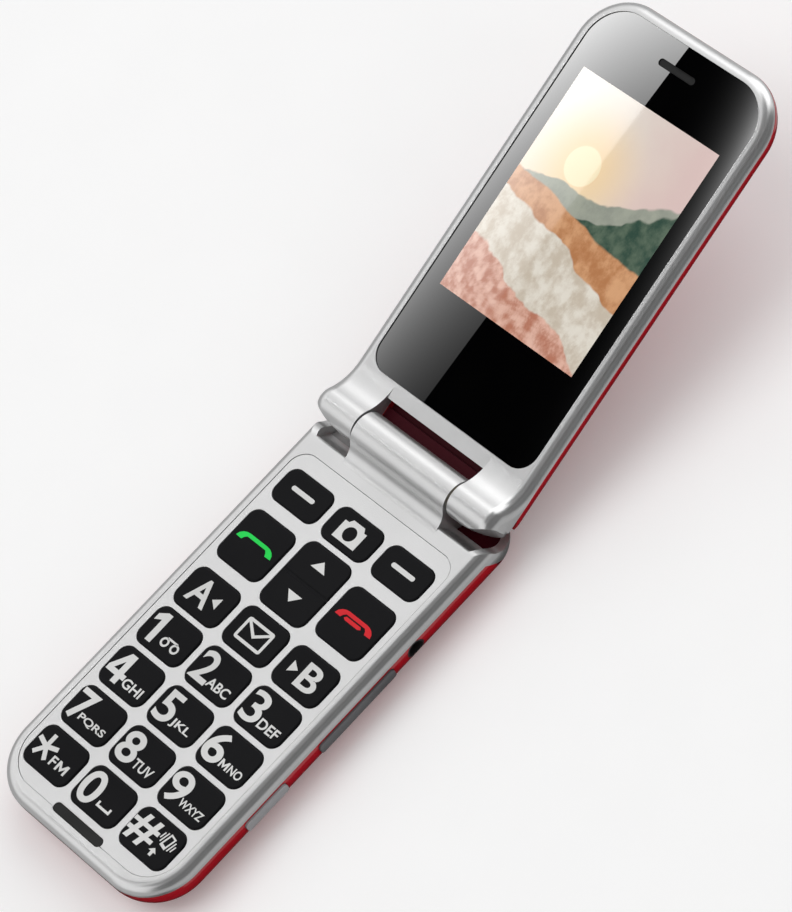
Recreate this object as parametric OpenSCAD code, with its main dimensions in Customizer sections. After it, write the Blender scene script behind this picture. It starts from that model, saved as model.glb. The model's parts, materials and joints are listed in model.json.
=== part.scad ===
// Clamshell flip phone, opened flat, lying on its back.
// X runs across the phone, +Y from the keypad's foot to the hinge, +Z up.
// The origin is the centre of the base's flat back. All sizes are in millimetres.
// Pieces of the lid are drawn in the lid's own frame: origin on the hinge axis,
// +Y away from the hinge, +Z out of the screen. in_lid() puts them in place.

/* [Base] */
// Width of the base
base_w = 50; // [49.5:0.1:51]
// Length of the base, from its foot to the hinge end
base_l = 99.6; // [99.2:0.1:101]
// Thickness of the base, back to front face
base_t = 10.3; // [10.1:0.1:10.6]
// Corner radius at the foot, seen from above
foot_r = 11.5; // [10.5:0.1:12]
// Corner radius at the hinge end, seen from above
heel_r = 7.5; // [7.2:0.1:7.8]
// Radius of the edge between the sides and the back
back_edge_r = 7; // [6.5:0.1:7.1]
// Radius of the edge between the sides and the front face
front_edge_r = 2; // [1.5:0.1:2.1]
// Wall of both base shells
base_wall = 1.6; // [1.4:0.05:1.8]
// Height at which the front cover meets the rear housing
base_split = 7.7; // [7.5:0.05:7.8]
// Height of the front cover's skirt round the hinge end
skirt_z = 4; // [3.7:0.05:4.3]
// Width of the silver rim round each hinge scoop
rim_w = 2; // [1.8:0.05:2.2]

/* [Hinge] */
// Height of the hinge axis above the back
axis_z = 11.6; // [11.5:0.05:11.8]
// Radius of the barrel in the middle of the base
barrel_r = 4.1; // [4:0.05:4.2]
// Length of each lid knuckle, from the lid's side inwards
knuckle_l = 11.3; // [11.1:0.1:11.6]
// Radius of the hollow that blends the barrel into the front face
barrel_blend_r = 4; // [3.5:0.1:4.2]
// Radius of the scoops that the lid's knuckles turn in
scoop_r = 6.2; // [6.1:0.05:6.3]
// Radius of the scoops' front edge
scoop_edge_r = 1; // [0.8:0.1:1.2]
// Corner radius of the scoops beside the rims, seen from above
scoop_corner_r = 3; // [2:0.1:3.1]
// Radius at which the rims start to dip beside the scoops
rim_edge_r = 4; // [3:0.1:4.2]
// How far the red pocket lies below the silver scoop
pocket_drop = 0.6; // [0.4:0.05:0.8]
// Clearance along X between the barrel and each knuckle
knuckle_gap = 0.5; // [0.3:0.05:0.7]
// Radius of each lid knuckle
knuckle_r = 3.75; // [3.7:0.05:3.85]
// Length of a knuckle's plain part, before it tapers towards the lid's side
knuckle_plain = 2.3; // [2.3:0.1:3]
// Radius of that taper on the foot side, seen from the front
taper_r = 14.5; // [14:0.5:18]
// Distance of the knuckle's centre from the hinge axis, along the lid
knuckle_along = 0.39; // [0.3:0.01:0.45]
// Distance of the knuckle's centre from the hinge axis, out of the lid's face
knuckle_out = 0.25; // [0.2:0.01:0.3]
// Radius of the ramp that leads from the lid's face up to a knuckle
ramp_r = 9; // [8.5:0.1:9.4]
// Lid's tilt above level when it is fully open
open_tilt = 17; // [15:0.5:20]
// Radius of the hinge cartridge's can
can_r = 2.9; // [2.6:0.05:3]
// Room that the hinge cartridge leaves in the barrel for the hollow pin and the ribbon
can_room = 11.4; // [11:0.1:12.2]
// Radius of the square-cut shaft that turns the lid
cam_r = 1.8; // [1.6:0.05:2]
// Outer radius of the hollow pin on the cable side
bush_r = 2.4; // [2.2:0.05:2.5]
// Bore radius of the hollow pin
bush_bore_r = 1.9; // [1.7:0.05:2]
// Running clearance of hinge pins, radial
run_gap = 0.05; // [0.03:0.01:0.08]

/* [Keypad] */
// Space between two keys of a row
key_space = 1.76; // [1.6:0.02:2]
// Space between the outer keys and the plate's edge
key_side = 1.54; // [1.4:0.02:1.8]
// Distance between number key rows
row_pitch = 10.23; // [10.1:0.01:10.4]
// Distance of the lowest key row from the base's foot
row0_inset = 11.1; // [11:0.05:11.4]
// Length of a number key
key_l = 8.8; // [8.4:0.05:9]
// Length of the memory and message keys
memory_l = 9; // [8.6:0.05:9.1]
// Length of the call and end keys
call_l = 12.1; // [11.8:0.05:12.4]
// Length of the up and down key
nav_l = 15.4; // [15:0.05:15.6]
// Length of the soft keys and the camera key
soft_l = 7.6; // [7.2:0.05:7.8]
// Distance from the lowest row to the call row
call_rise = 54.4; // [54.2:0.05:54.6]
// Distance from the lowest row to the soft key row
soft_rise = 67.27; // [67.1:0.05:67.5]
// Corner radius of a key
key_r = 2.2; // [1.8:0.05:2.4]
// Radius of a key's top edge
key_edge = 0.35; // [0.2:0.05:0.5]
// Height of a key above the keypad plate
key_proud = 0.3; // [0.2:0.05:0.4]
// Travel of a key
key_travel = 0.3; // [0.2:0.02:0.32]
// Gap between a key and its hole, all round
key_gap = 0.15; // [0.12:0.01:0.2]
// Width of the flange that keeps a key behind its hole
flange_w = 0.45; // [0.35:0.05:0.5]
// Thickness of that flange
flange_t = 0.55; // [0.5:0.05:0.6]
// Width of the front face beside the keypad plate
plate_rim = 2.8; // [2.6:0.05:3]
// Thickness of the keypad plate
plate_t = 0.5; // [0.4:0.05:0.6]
// How deep the plate's face lies below the front face
plate_sunk = 0.1; // [0.05:0.01:0.15]
// Gap round the keypad plate
seam = 0.12; // [0.08:0.01:0.16]
// Corner radius at the plate's foot
plate_foot_r = 7.6; // [7:0.1:8]
// Corner radius at the plate's top
plate_top_r = 3.8; // [3.4:0.1:4.2]
// Distance from the base's foot to the plate's foot
plate_inset = 3.7; // [3.5:0.05:3.9]
// Length of the keypad plate
plate_l = 82.1; // [81.8:0.05:82.4]
// Thickness of the front cover's web under the plate
web_t = 0.8; // [0.7:0.05:0.85]
// Length of the microphone slot
mic_l = 14; // [13:0.1:15]
// Width of the microphone slot
mic_w = 2; // [1.8:0.05:2.1]
// Distance from the base's foot to the microphone slot's middle
mic_inset = 4.1; // [4:0.05:4.2]

/* [Electronics] */
// Thickness of the main board
board_t = 0.8; // [0.7:0.05:0.9]
// Height of the main board's underside
board_z = 6.6; // [6.55:0.01:6.65]
// Thickness of the dome sheet
sheet_t = 0.1; // [0.08:0.01:0.12]
// Height of a dome above its sheet
dome_h = 0.15; // [0.1:0.01:0.18]
// Thickness of the key mat
mat_t = 0.25; // [0.2:0.01:0.28]
// Height of the headphone jack and the charging socket
port_z = 5.6; // [5.5:0.05:5.65]
// Distance from the base's foot to the headphone jack
port_y = 69.6; // [69:0.1:70]
// Bore radius of the headphone jack
jack_bore_r = 1.8; // [1.75:0.01:1.82]
// Length of the headphone jack's bore
jack_bore_l = 13; // [12:0.1:14]
// Outer radius of the headphone jack's nose
jack_nose_r = 2.1; // [2.05:0.01:2.15]
// Width of the loudspeaker
speaker_w = 15; // [14:0.1:16]
// Length of the loudspeaker
speaker_l = 10; // [9:0.1:10.5]
// Thickness of the loudspeaker
speaker_t = 4.2; // [4:0.05:4.3]
// Number of sound slots in the back
sound_slots = 5; // [3:1:5]

/* [Battery] */
// Width of the battery
battery_w = 33; // [31:0.1:33.2]
// Length of the battery
battery_l = 50; // [48:0.1:51]
// Thickness of the battery
battery_t = 4.4; // [4:0.05:4.5]
// Distance from the base's foot to the battery's foot
battery_inset = 9.2; // [9:0.05:9.6]
// Gap round the battery
battery_gap = 0.25; // [0.15:0.01:0.3]
// Width of the battery cover
cover_w = 36; // [35.6:0.1:36]
// Thickness of the battery cover
cover_t = 1.2; // [1.1:0.05:1.25]
// Distance from the base's foot to the battery cover's top edge
cover_l = 87.6; // [87:0.1:88]
// Height up to which the battery cover wraps round the foot
cover_wrap = 3.6; // [3.2:0.05:3.7]
// Sliding clearance of the battery cover
cover_gap = 0.1; // [0.06:0.01:0.14]
// Depth of the rails on the battery cover's sides
rail_w = 0.6; // [0.4:0.05:0.7]

/* [Side keys] */
// Distance from the base's foot to the volume rocker's middle
rocker_y = 53.75; // [53:0.05:54.2]
// Length of the volume rocker
rocker_l = 20; // [19:0.1:20.6]
// Distance from the base's foot to the side button's middle
button_y = 29.45; // [29:0.05:30]
// Length of the side button
button_l = 10.8; // [10:0.1:11.2]
// Height of the side keys, across the wall
side_key_h = 2.9; // [2.6:0.05:3]
// Height of the side keys' middle above the back
side_key_z = 5.75; // [5.7:0.01:5.8]
// How far the side keys stand out of the wall
side_key_proud = 0.4; // [0.3:0.02:0.45]
// Travel of the side button
side_travel = 0.25; // [0.15:0.01:0.28]

/* [Lid] */
// Length of the lid, from the hinge axis to its free end
lid_reach = 95.6; // [95:0.1:96]
// Thickness of the lid
lid_t = 6.85; // [6.7:0.05:7]
// Corner radius of the lid's free end
lid_r = 11; // [10.5:0.1:11.5]
// Radius of the edge between the lid's sides and its back
lid_back_edge_r = 5.4; // [5:0.1:5.6]
// Radius of the edge between the lid's sides and its face
lid_edge_r = 2.5; // [2:0.1:2.6]
// Height of the hinge axis above the lid's face
lid_face_drop = 0.34; // [0.3:0.01:0.4]
// Depth of the silver side of the lid, below its face
lid_split_drop = 1.86; // [1.8:0.02:1.95]
// Wall of both lid shells
lid_wall = 1.4; // [1.3:0.05:1.5]
// Radius of the slope where the lid's back thins towards the hinge
slope_r = 12; // [11.5:0.1:12.5]
// Distance from the hinge axis to the top of that slope
slope_start = 10.1; // [10:0.05:10.4]
// Distance from the hinge axis to the edge of the slot that clears the barrel
slot_edge = 7.4; // [7.2:0.05:7.6]
// Clearance between the lid's middle and the base's end when open
stop_gap = 0.25; // [0.2:0.01:0.3]

/* [Display] */
// Width of the lid's face beside the display window
window_rim = 2.8; // [2.6:0.05:3]
// Distance from the hinge axis to the window's lower edge
window_start = 10.66; // [10.5:0.02:10.8]
// Distance from the lid's free end to the window's upper edge
window_end = 2.34; // [2.2:0.02:2.6]
// Thickness of the display window
window_t = 1; // [0.9:0.05:1.1]
// How deep the window lies below the lid's face
window_sunk = 0.25; // [0.2:0.01:0.28]
// Corner radius of the window's lower end
window_low_r = 4.5; // [4:0.1:5]
// Corner radius of the window's upper end
window_top_r = 8.5; // [8:0.1:9]
// Width of the picture area
picture_w = 36.72; // [36:0.01:37]
// Length of the picture area
picture_l = 48.96; // [48:0.01:49.5]
// Distance from the lid's free end to the picture's upper edge
picture_end = 15.98; // [15.8:0.02:16.2]
// Thickness of the display module
module_t = 1.8; // [1.6:0.05:2]
// Distance from the lid's free end to the earpiece slot's middle
ear_inset = 7.4; // [7.2:0.05:7.6]
// Length of the earpiece slot
ear_l = 9.5; // [9:0.1:10]
// Width of the earpiece slot
ear_w = 1.5; // [1.4:0.05:1.6]
// Distance from the lid's free end to the camera's middle
camera_inset = 16.6; // [16:0.1:17.6]
// Radius of the camera's window
camera_r = 4; // [3.6:0.05:4.2]

/* [Hidden] */
$fn = 96;
eps = 0.01;
big = 200;
fit = 0.05;        // face gap between pieces of one body
seat = 0.1;        // face gap between a moving piece and its seat
foot_y = -base_l / 2;
heel_y = base_l / 2;
axis_y = heel_y - barrel_r;
knuckle_x = base_w / 2 - knuckle_l;
barrel_half = knuckle_x - knuckle_gap;
can_end = barrel_half - can_room;
can_l = barrel_half + can_end;
split_slope_y = axis_y - scoop_r;
rim_shift = [1.5, 0.6];   // place of the rims' round dip, off the hinge axis
scoop_y = axis_y - 6.5;
pocket_y = axis_y - 3.6;
pocket_end_y = heel_y - 1.5;
pocket_lining = 4;
cam_seat_l = 5.8;
can_floor = 1;
spring_room = 4;   // room for the spring between the can's floor and the cam's shaft
cam_grip_l = can_l - can_floor - spring_room;
cam_flat = 0.7;    // thickness of the shaft's flattened end, as a part of its width
cam_end_gap = 0.2;
bush_in = 5;       // length of the hollow pin inside the barrel
bush_out = 4;      // and beyond it
bush_room = 1.2;

plate_w = base_w - 2 * plate_rim;
col_pitch = (plate_w - 2 * key_side + key_space) / 3;
key_w = col_pitch - key_space;
plate_z = base_t - plate_sunk;
web_z = plate_z - plate_t;
web_under = web_z - web_t;
key_top = plate_z + key_proud;
flange_top = web_under - fit;
flange_z = flange_top - flange_t;
row0 = foot_y + row0_inset;
call_y = row0 + call_rise;
soft_y = row0 + soft_rise;
plate_y0 = foot_y + plate_inset;
plate_y1 = plate_y0 + plate_l;
mic_y = foot_y + mic_inset;
mic_r = 2;
mic_h = 1.2;

// Every key as [column, middle y, length]
KEYS = concat(
    [for (row = [0 : 3], col = [-1 : 1]) [col, row0 + row * row_pitch, key_l]],
    [for (col = [-1 : 1]) [col, row0 + 4 * row_pitch, memory_l]],
    [[-1, call_y, call_l], [0, call_y, nav_l], [1, call_y, call_l]],
    [for (col = [-1 : 1]) [col, soft_y, soft_l]]);

board_top = board_z + board_t;
sheet_top = board_top + sheet_t;
mat_z = sheet_top + dome_h + fit;
board_gap = 0.4;
board_w = base_w - 2 * base_wall - 2 * board_gap;
board_y0 = foot_y + base_wall + board_gap;
board_clear = 7.6;  // from the hinge axis to the board
board_y1 = axis_y - board_clear;
board_foot_r = foot_r - base_wall - board_gap;
board_heel_r = 2;
board_bite = 0.3;  // clearance round a notch in the board
dome_r = 2.2;
mat_r = 2;
nav_dome = 4.6;
end_dome = 1.9;
// The end key's dome lies beside the headphone jack, and the long key's lower dome under its lower arrow
function dome_shift(key) = key[1] != call_y ? 0 : (key[0] == 1 ? end_dome : (key[0] == 0 ? nav_dome : 0));

battery_y0 = foot_y + battery_inset;
battery_y1 = battery_y0 + battery_l;
battery_z = cover_t + seat;
bay_top = battery_z + battery_t + seat;
floor_t = 0.75;    // floor between the battery bay and the board
board_space_z = bay_top + floor_t;
cover_y1 = foot_y + cover_l;
rail_t = 0.5;
notch_r = 2;
notch_l = 10;
notch_inset = 14;
notch_depth = 0.4;
battery_r = 1.1;
tray = [26, 16, 0.6];
tray_y = battery_y0 + battery_l / 2 + 0.8;
card = [24.4, 12, 0.3];

side_wall_x = base_w / 2 - base_wall;
jack_y = foot_y + port_y;
jack_body = [13.6, 6];
jack_under = 2.3;
jack_over = 2;
shield_gap = 1.3;
usb_body = [5.6, 7.6, 2.7];
usb_x = -side_wall_x + usb_body[0] / 2 - 0.3;
usb_mouth = [3.2, 8.2, 3.2];
usb_shell_t = 0.3;
usb_back_t = 0.9;
usb_tongue = [4, 5.6, 0.6];
shield_l = 7.4;
shield_h = 1.6;
shield = [2 * (side_wall_x - jack_body[0] - shield_gap), shield_l, shield_h];
shield_t = 0.2;
shield_inset = 3.9;
shield_y = battery_y1 + shield_inset + shield_l / 2;
shield_z = board_z - seat - shield[2];
contacts_z = battery_z + 0.4;
contacts = [13, 2.6, board_z - seat - contacts_z - fit];
contacts_y = battery_y1 + battery_gap + contacts[1] / 2;
contact_blade = [1.4, 0.2, 2.6];
contact_pitch = 4;
speaker_inset = 5.6;
speaker_y = cover_y1 - speaker_inset;
speaker_z = board_z - seat - fit - speaker_t;
motor_r = 2;
motor_l = 7;
motor_side = 11.4;
motor_x = motor_side - side_wall_x;
motor_inset = 9.6;
speaker_side = 14;
speaker_x = motor_x + speaker_side;
motor_y = cover_y1 - motor_inset;
motor_z = board_z - seat - fit - motor_r;
weight_l = 3;
weight_r = 1.8;
weight_gap = 0.3;
weight_hub_r = 0.8;
shaft_r = 0.4;
shaft_l = 4;
speaker_r = 2;
speaker_rim = 1.5;
cone_depth = 0.3;
slot_pitch = 1.6;
slot_l = 9;
slot_w = 0.8;
antenna = [17, 3.6, 1.8];
antenna_y = foot_y + 4.2;
antenna_z = board_z - seat - antenna[2];

screw_r = 0.7;
screw_head_r = 1.3;
screw_fit = 0.02;
screw_head_t = 0.7;
screw_cross = [1.5, 0.35, 0.4];
boss_r = 1.45;
screw_floor = 1.2;
foot_screw = [11, foot_y + 4.6, 3.5];
head_screw_rise = 6.8;
head_screw = [14.5, soft_y + head_screw_rise, cover_t + screw_floor];
// Base screws as [x, y, height of the head's top]
SCREWS = [for (side = [-1, 1], at = [foot_screw, head_screw]) [side * at[0], at[1], at[2]]];

side_seat_x = side_wall_x - 0.9;
side_flange_w = 0.5;
side_flange_t = 0.5;
side_gap = 0.12;
rock_relief = 0.3;
rock_pin_r = 0.22;
rock_pin_l = 0.6;
rock_pin_x = side_seat_x - rock_relief - side_flange_t / 2;
rock_reach = 0.14;
side_key_r = 0.8;
switch_w = 3;
switch_lift = 0.4;
switch_t = 0.9;
switch_x = side_seat_x - rock_relief - side_flange_t - side_travel - switch_t;
board_notch_x = switch_x + switch_t - 0.1;

nav_valley = 0.18; // depth of the valley across the up and down key
nav_valley_r = 0.38;
nav_relief = 0.3;  // height by which that key's flange is thinner, for its rocking

lid_root_y = -1;   // where the lid's shells end under the knuckles
lid_face = -lid_face_drop;
lid_back = lid_face - lid_t;
lid_split = lid_face - lid_split_drop;
glass_top = lid_face - window_sunk;
glass_z = glass_top - window_t;
window_w = base_w - 2 * window_rim;
window_y1 = lid_reach - window_end;
ear_y = lid_reach - ear_inset;
camera_y = lid_reach - camera_inset;
module_z = glass_z - seat - module_t;
module_side = 2.14;
module_end = 4;
module_size = [picture_w + 2 * module_side, picture_l + 2 * module_end];
module_y = lid_reach - picture_end - picture_l - module_end;
module_r = 1;
lid_board_inset = 5.4;
lid_board_y = slot_edge + lid_board_inset;
lid_board_side = 7;
lid_board = [base_w - 2 * lid_board_side, 12, 0.8];
lid_board_z = module_z - seat - lid_board[2];
earpiece = [12, 6.4, 2.4];
camera = [7.6, 7.6];
camera_barrel_r = 2.6;
camera_barrel_l = 0.6;
camera_glass_t = 0.7;
mesh_sunk = 0.3;
magnet = [6, 3, 1.4];
lid_floor = lid_back + lid_wall;
lid_boss_r = 1.8;
lid_screw_side = 1.5;
lid_screw_end = 2;
lid_top_inset = [5.2, 0.2];
lid_low_screw = [base_w / 2 - lid_wall - lid_boss_r - lid_screw_side, module_y - lid_boss_r - lid_screw_end];
lid_top_screw = [window_w / 2 - lid_top_inset[0], ear_y - lid_top_inset[1]];
LID_SCREWS = [for (side = [-1, 1], at = [lid_low_screw, lid_top_screw]) [side * at[0], at[1]]];
magnet_at = [lid_top_screw[0] - lid_boss_r - lid_screw_end - magnet[0] / 2, ear_y];
lid_boss_split = lid_split - 1;
lid_head_t = 0.5;
lid_head_z = lid_split - 0.3;
flex_r = 1.5;
flex_t = 0.25;
flex_w = 3;
flex_tail = 9.8;
flex_inset = 2.5;
flex_x = can_end + flex_inset + flex_w / 2;
flex_split_x = barrel_half - bush_in;
lid_flex_turn = 5.2;
lid_flex_x = knuckle_x + lid_flex_turn;
lid_flex_z = lid_split + 0.3;
lid_tail_y = lid_board_y + 1;
flex_room = 0.3;
step_w = 1.4;      // step along the edge of the slot that clears the barrel
step_drop = 1;

// ---------- shapes ----------

// Stretches a section drawn in (y, z) along X, centred on x = 0
module along_x(width) {
    rotate([90, 0, 90]) linear_extrude(width, center = true) children();
}

// Stretches a section drawn in (x, z) along +Y from y = 0
module along_y(length) {
    translate([0, length, 0]) rotate([90, 0, 0]) linear_extrude(length) children();
}

// Repeats its children on both sides of the YZ plane
module both_sides() {
    children();
    mirror([1, 0, 0]) children();
}

// Box centred on x = 0 and y = 0, standing on z = 0
module block(size) {
    translate([-size[0] / 2, -size[1] / 2, 0]) cube(size);
}

// Outline of width w from y0 to y1, with corner radius r0 at y0 and r1 at y1
module outline(w, y0, y1, r0, r1) {
    translate([-w / 2, y0 + r0]) square([w, y1 - y0 - r0 - r1]);
    translate([-w / 2 + r0, y0]) square([w - 2 * r0, r0 + eps]);
    translate([-w / 2 + r1, y1 - r1 - eps]) square([w - 2 * r1, r1 + eps]);
    for (side = [-1, 1]) {
        translate([side * (w / 2 - r0), y0 + r0]) circle(r0);
        translate([side * (w / 2 - r1), y1 - r1]) circle(r1);
    }
}

// Rectangle with round corners, centred
module round_rect(w, l, r) {
    outline(w, -l / 2, l / 2, r, r);
}

// Half section of a soft-edged slab: low edge radius low_r, high edge radius high_r
module edge_section(reach, h, low_r, high_r) {
    difference() {
        square([reach, h]);
        if (low_r > 0) translate([reach - low_r, 0]) difference() {
            square([low_r + eps, low_r]);
            translate([0, low_r]) circle(low_r);
        }
        if (high_r > 0) translate([reach - high_r, h - high_r]) difference() {
            square(high_r + eps);
            circle(high_r);
        }
    }
}

// Slab with that outline whose edges all round follow edge_section
module soft_slab(w, y0, y1, h, r0, r1, low_r, high_r) {
    for (side = [-1, 1]) {
        translate([side * (w / 2 - r0), y0 + r0, 0]) rotate_extrude() edge_section(r0, h, low_r, high_r);
        translate([side * (w / 2 - r1), y1 - r1, 0]) rotate_extrude() edge_section(r1, h, low_r, high_r);
    }
    translate([0, y0 + r0, 0]) along_y(y1 - y0 - r0 - r1) {
        edge_section(w / 2, h, low_r, high_r);
        mirror([1, 0]) edge_section(w / 2, h, low_r, high_r);
    }
    translate([0, y0 + r0, 0]) along_x(w - 2 * r0) mirror([1, 0]) edge_section(r0, h, low_r, high_r);
    translate([0, y1 - r1, 0]) along_x(w - 2 * r1) edge_section(r1, h, low_r, high_r);
}

// Web between a circle of radius r round the origin and a flat at height h, on the -Y side
module hollow_blend(r, h, blend_r) {
    centre = [-sqrt(pow(r + blend_r, 2) - pow(h + blend_r, 2)), h + blend_r];
    touch = centre * r / (r + blend_r);
    difference() {
        polygon([[centre[0], h], touch, [0, 0], [0, h]]);
        translate(centre) circle(blend_r);
    }
}

// Base's outer form, drawn in by inset on every face
module base_form(inset = 0) {
    translate([0, 0, inset])
        soft_slab(base_w - 2 * inset, foot_y + inset, heel_y - inset, base_t - 2 * inset,
            foot_r - inset, heel_r - inset, back_edge_r - inset, max(front_edge_r - inset, key_edge));
}

// Side view of everything in the base that belongs to the front cover
module front_side_view() {
    polygon([[-big, base_split], [split_slope_y, base_split],
        [split_slope_y + base_split - skirt_z, skirt_z], [big, skirt_z], [big, big], [-big, big]]);
}

// Side view of a round dip in the face, with its rounded front edge; its centre stands off the hinge axis
module dip_view(edge_r, shift) {
    drop = base_t - axis_z - shift[1];
    centre = [-sqrt(pow(scoop_r + edge_r, 2) - pow(drop - edge_r, 2)), drop - edge_r];
    touch = centre * scoop_r / (scoop_r + edge_r);
    translate([axis_y, axis_z] + shift) {
        circle(scoop_r);
        translate([0, drop]) square([scoop_r, scoop_r]);
        difference() {
            polygon([[centre[0], drop], [centre[0], 0], [0, 0], touch]);
            translate(centre) circle(edge_r);
        }
    }
}

// Plan of the scoops between the barrel and the rims, from from_y on and drawn in by gap
module scoop_plan(from_y, gap) {
    intersection() {
        outline(base_w - 2 * (rim_w + gap), scoop_y + gap, pocket_end_y - gap, scoop_corner_r, heel_r - rim_w);
        both_sides() translate([barrel_half + gap, from_y + gap]) square([big, big]);
    }
}

// Side view of the barrel with the hollow that leads down to the front face
module barrel_view() {
    translate([axis_y, axis_z]) {
        circle(barrel_r);
        hollow_blend(barrel_r, base_t - axis_z, barrel_blend_r);
        translate([0, base_split - axis_z]) square([barrel_r, axis_z - base_split]);
    }
}

// Puts lid pieces at the open position
module in_lid() {
    translate([0, axis_y, axis_z]) rotate([open_tilt, 0, 0]) children();
}

// ---------- base shells ----------

// Holes in web and plate for all the keys, grown by gap
module key_holes(gap) {
    for (key = KEYS) translate([key[0] * col_pitch, key[1]])
        round_rect(key_w + 2 * gap, key[2] + 2 * gap, key_r + gap);
}

module mic_outline(gap) {
    translate([0, mic_y]) round_rect(mic_l + 2 * gap, mic_w + 2 * gap, mic_w / 2 + gap - eps);
}

module port_cuts() {
    translate([side_wall_x - 1, jack_y, port_z]) rotate([0, 90, 0]) cylinder(h = big, r = jack_nose_r + fit);
    translate([-base_w / 2 - 1, jack_y - usb_mouth[1] / 2, port_z - usb_mouth[2] / 2]) cube(usb_mouth);
}

// Space between the shells for the board and what stands on it
module board_space() {
    translate([0, 0, board_space_z]) linear_extrude(web_under - board_space_z) intersection() {
        outline(base_w - 2 * base_wall, foot_y + base_wall, heel_y - base_wall, foot_r - base_wall,
            heel_r - base_wall);
        translate([-big / 2, foot_y]) square([big, board_y1 + board_bite - foot_y]);
    }
}

module hinge_bores() {
    translate([-knuckle_x, axis_y, axis_z]) rotate([0, 90, 0]) cylinder(h = can_l + knuckle_gap, r = can_r + fit);
    translate([can_l - barrel_half + bush_room, axis_y, axis_z]) rotate([0, 90, 0])
        cylinder(h = barrel_half, r = bush_r + run_gap);
    flex_channel();
}

// Channel for the ribbon from the barrel down to the board
module flex_channel() {
    translate([flex_x, axis_y - flex_tail / 2 - flex_room, board_top + seat])
        block([flex_w + 2 * flex_room, flex_tail + 2 * flex_room, flex_t + 2 * flex_room]);
    translate([flex_x, axis_y, board_top + seat])
        block([flex_w + 2 * flex_room, flex_t + 2 * flex_room, axis_z - board_top]);
}

module base_front_cover() {
    color("silver") {
        difference() {
            union() {
                difference() {
                    intersection() {
                        base_form();
                        along_x(big) front_side_view();
                    }
                    board_space();
                    both_sides() translate([barrel_half + big / 2, 0, 0]) along_x(big)
                        dip_view(rim_edge_r, rim_shift);
                    intersection() {
                        along_x(base_w) dip_view(scoop_edge_r, [0, 0]);
                        linear_extrude(base_t + 1) scoop_plan(scoop_y, 0);
                    }
                    linear_extrude(base_t) scoop_plan(pocket_y, 0);
                }
                along_x(2 * barrel_half) barrel_view();
            }
            translate([0, 0, web_z]) linear_extrude(big) outline(plate_w + 2 * seam, plate_y0 - seam,
                plate_y1 + seam, plate_foot_r + seam, plate_top_r + seam);
            translate([0, 0, web_under - 1]) linear_extrude(big) key_holes(key_gap);
            translate([0, 0, web_under - 1]) linear_extrude(big) mic_outline(fit);
            hinge_bores();
            port_cuts();
        }
        difference() {
            for (at = SCREWS) translate([at[0], at[1], board_top + fit])
                cylinder(h = web_under - board_top - fit + eps, r = boss_r);
            for (at = SCREWS) translate([at[0], at[1], 0]) cylinder(h = web_under, r = screw_r);
        }
    }
}

module keypad_plate() {
    color("gainsboro") translate([0, 0, web_z]) linear_extrude(plate_t) difference() {
        outline(plate_w, plate_y0, plate_y1, plate_foot_r, plate_top_r);
        key_holes(key_gap);
        mic_outline(fit);
    }
}

module mic_grille() {
    color("black") difference() {
        translate([0, 0, web_under + fit]) linear_extrude(plate_z - web_under - fit) mic_outline(0);
        translate([0, mic_y, web_under]) cylinder(h = plate_t, r = mic_w / 3);
    }
}

// Battery cover's solid, grown by gap for the recess it slides in
module cover_solid(gap) {
    intersection() {
        difference() {
            base_form();
            base_form(cover_t + gap);
        }
        union() {
            translate([-cover_w / 2 - gap, foot_y - 1, -1])
                cube([cover_w + 2 * gap, cover_l + 1 + gap, cover_wrap + 1 + gap]);
            // rails on both long sides; their grooves run out at the foot
            translate([-cover_w / 2 - rail_w - gap, foot_y + (gap > 0 ? 0 : back_edge_r), cover_t - rail_t - gap])
                cube([cover_w + 2 * rail_w + 2 * gap, cover_l - (gap > 0 ? 1 : 2) * back_edge_r + gap,
                    rail_t + 2 * gap]);
        }
    }
}

// Slots that let the sound out of the back
module sound_outlet() {
    for (i = [0 : sound_slots - 1])
        translate([speaker_x, speaker_y + (i - (sound_slots - 1) / 2) * slot_pitch, -1])
            linear_extrude(speaker_z + 2) round_rect(slot_l, slot_w, slot_w / 2 - eps);
}

// Pocket in the housing, open towards the board, for a piece of that size standing at that place
module pocket(at, size) {
    translate([at[0], at[1], at[2] - fit]) block([size[0] + 2 * fit, size[1] + 2 * fit, big]);
}

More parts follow.
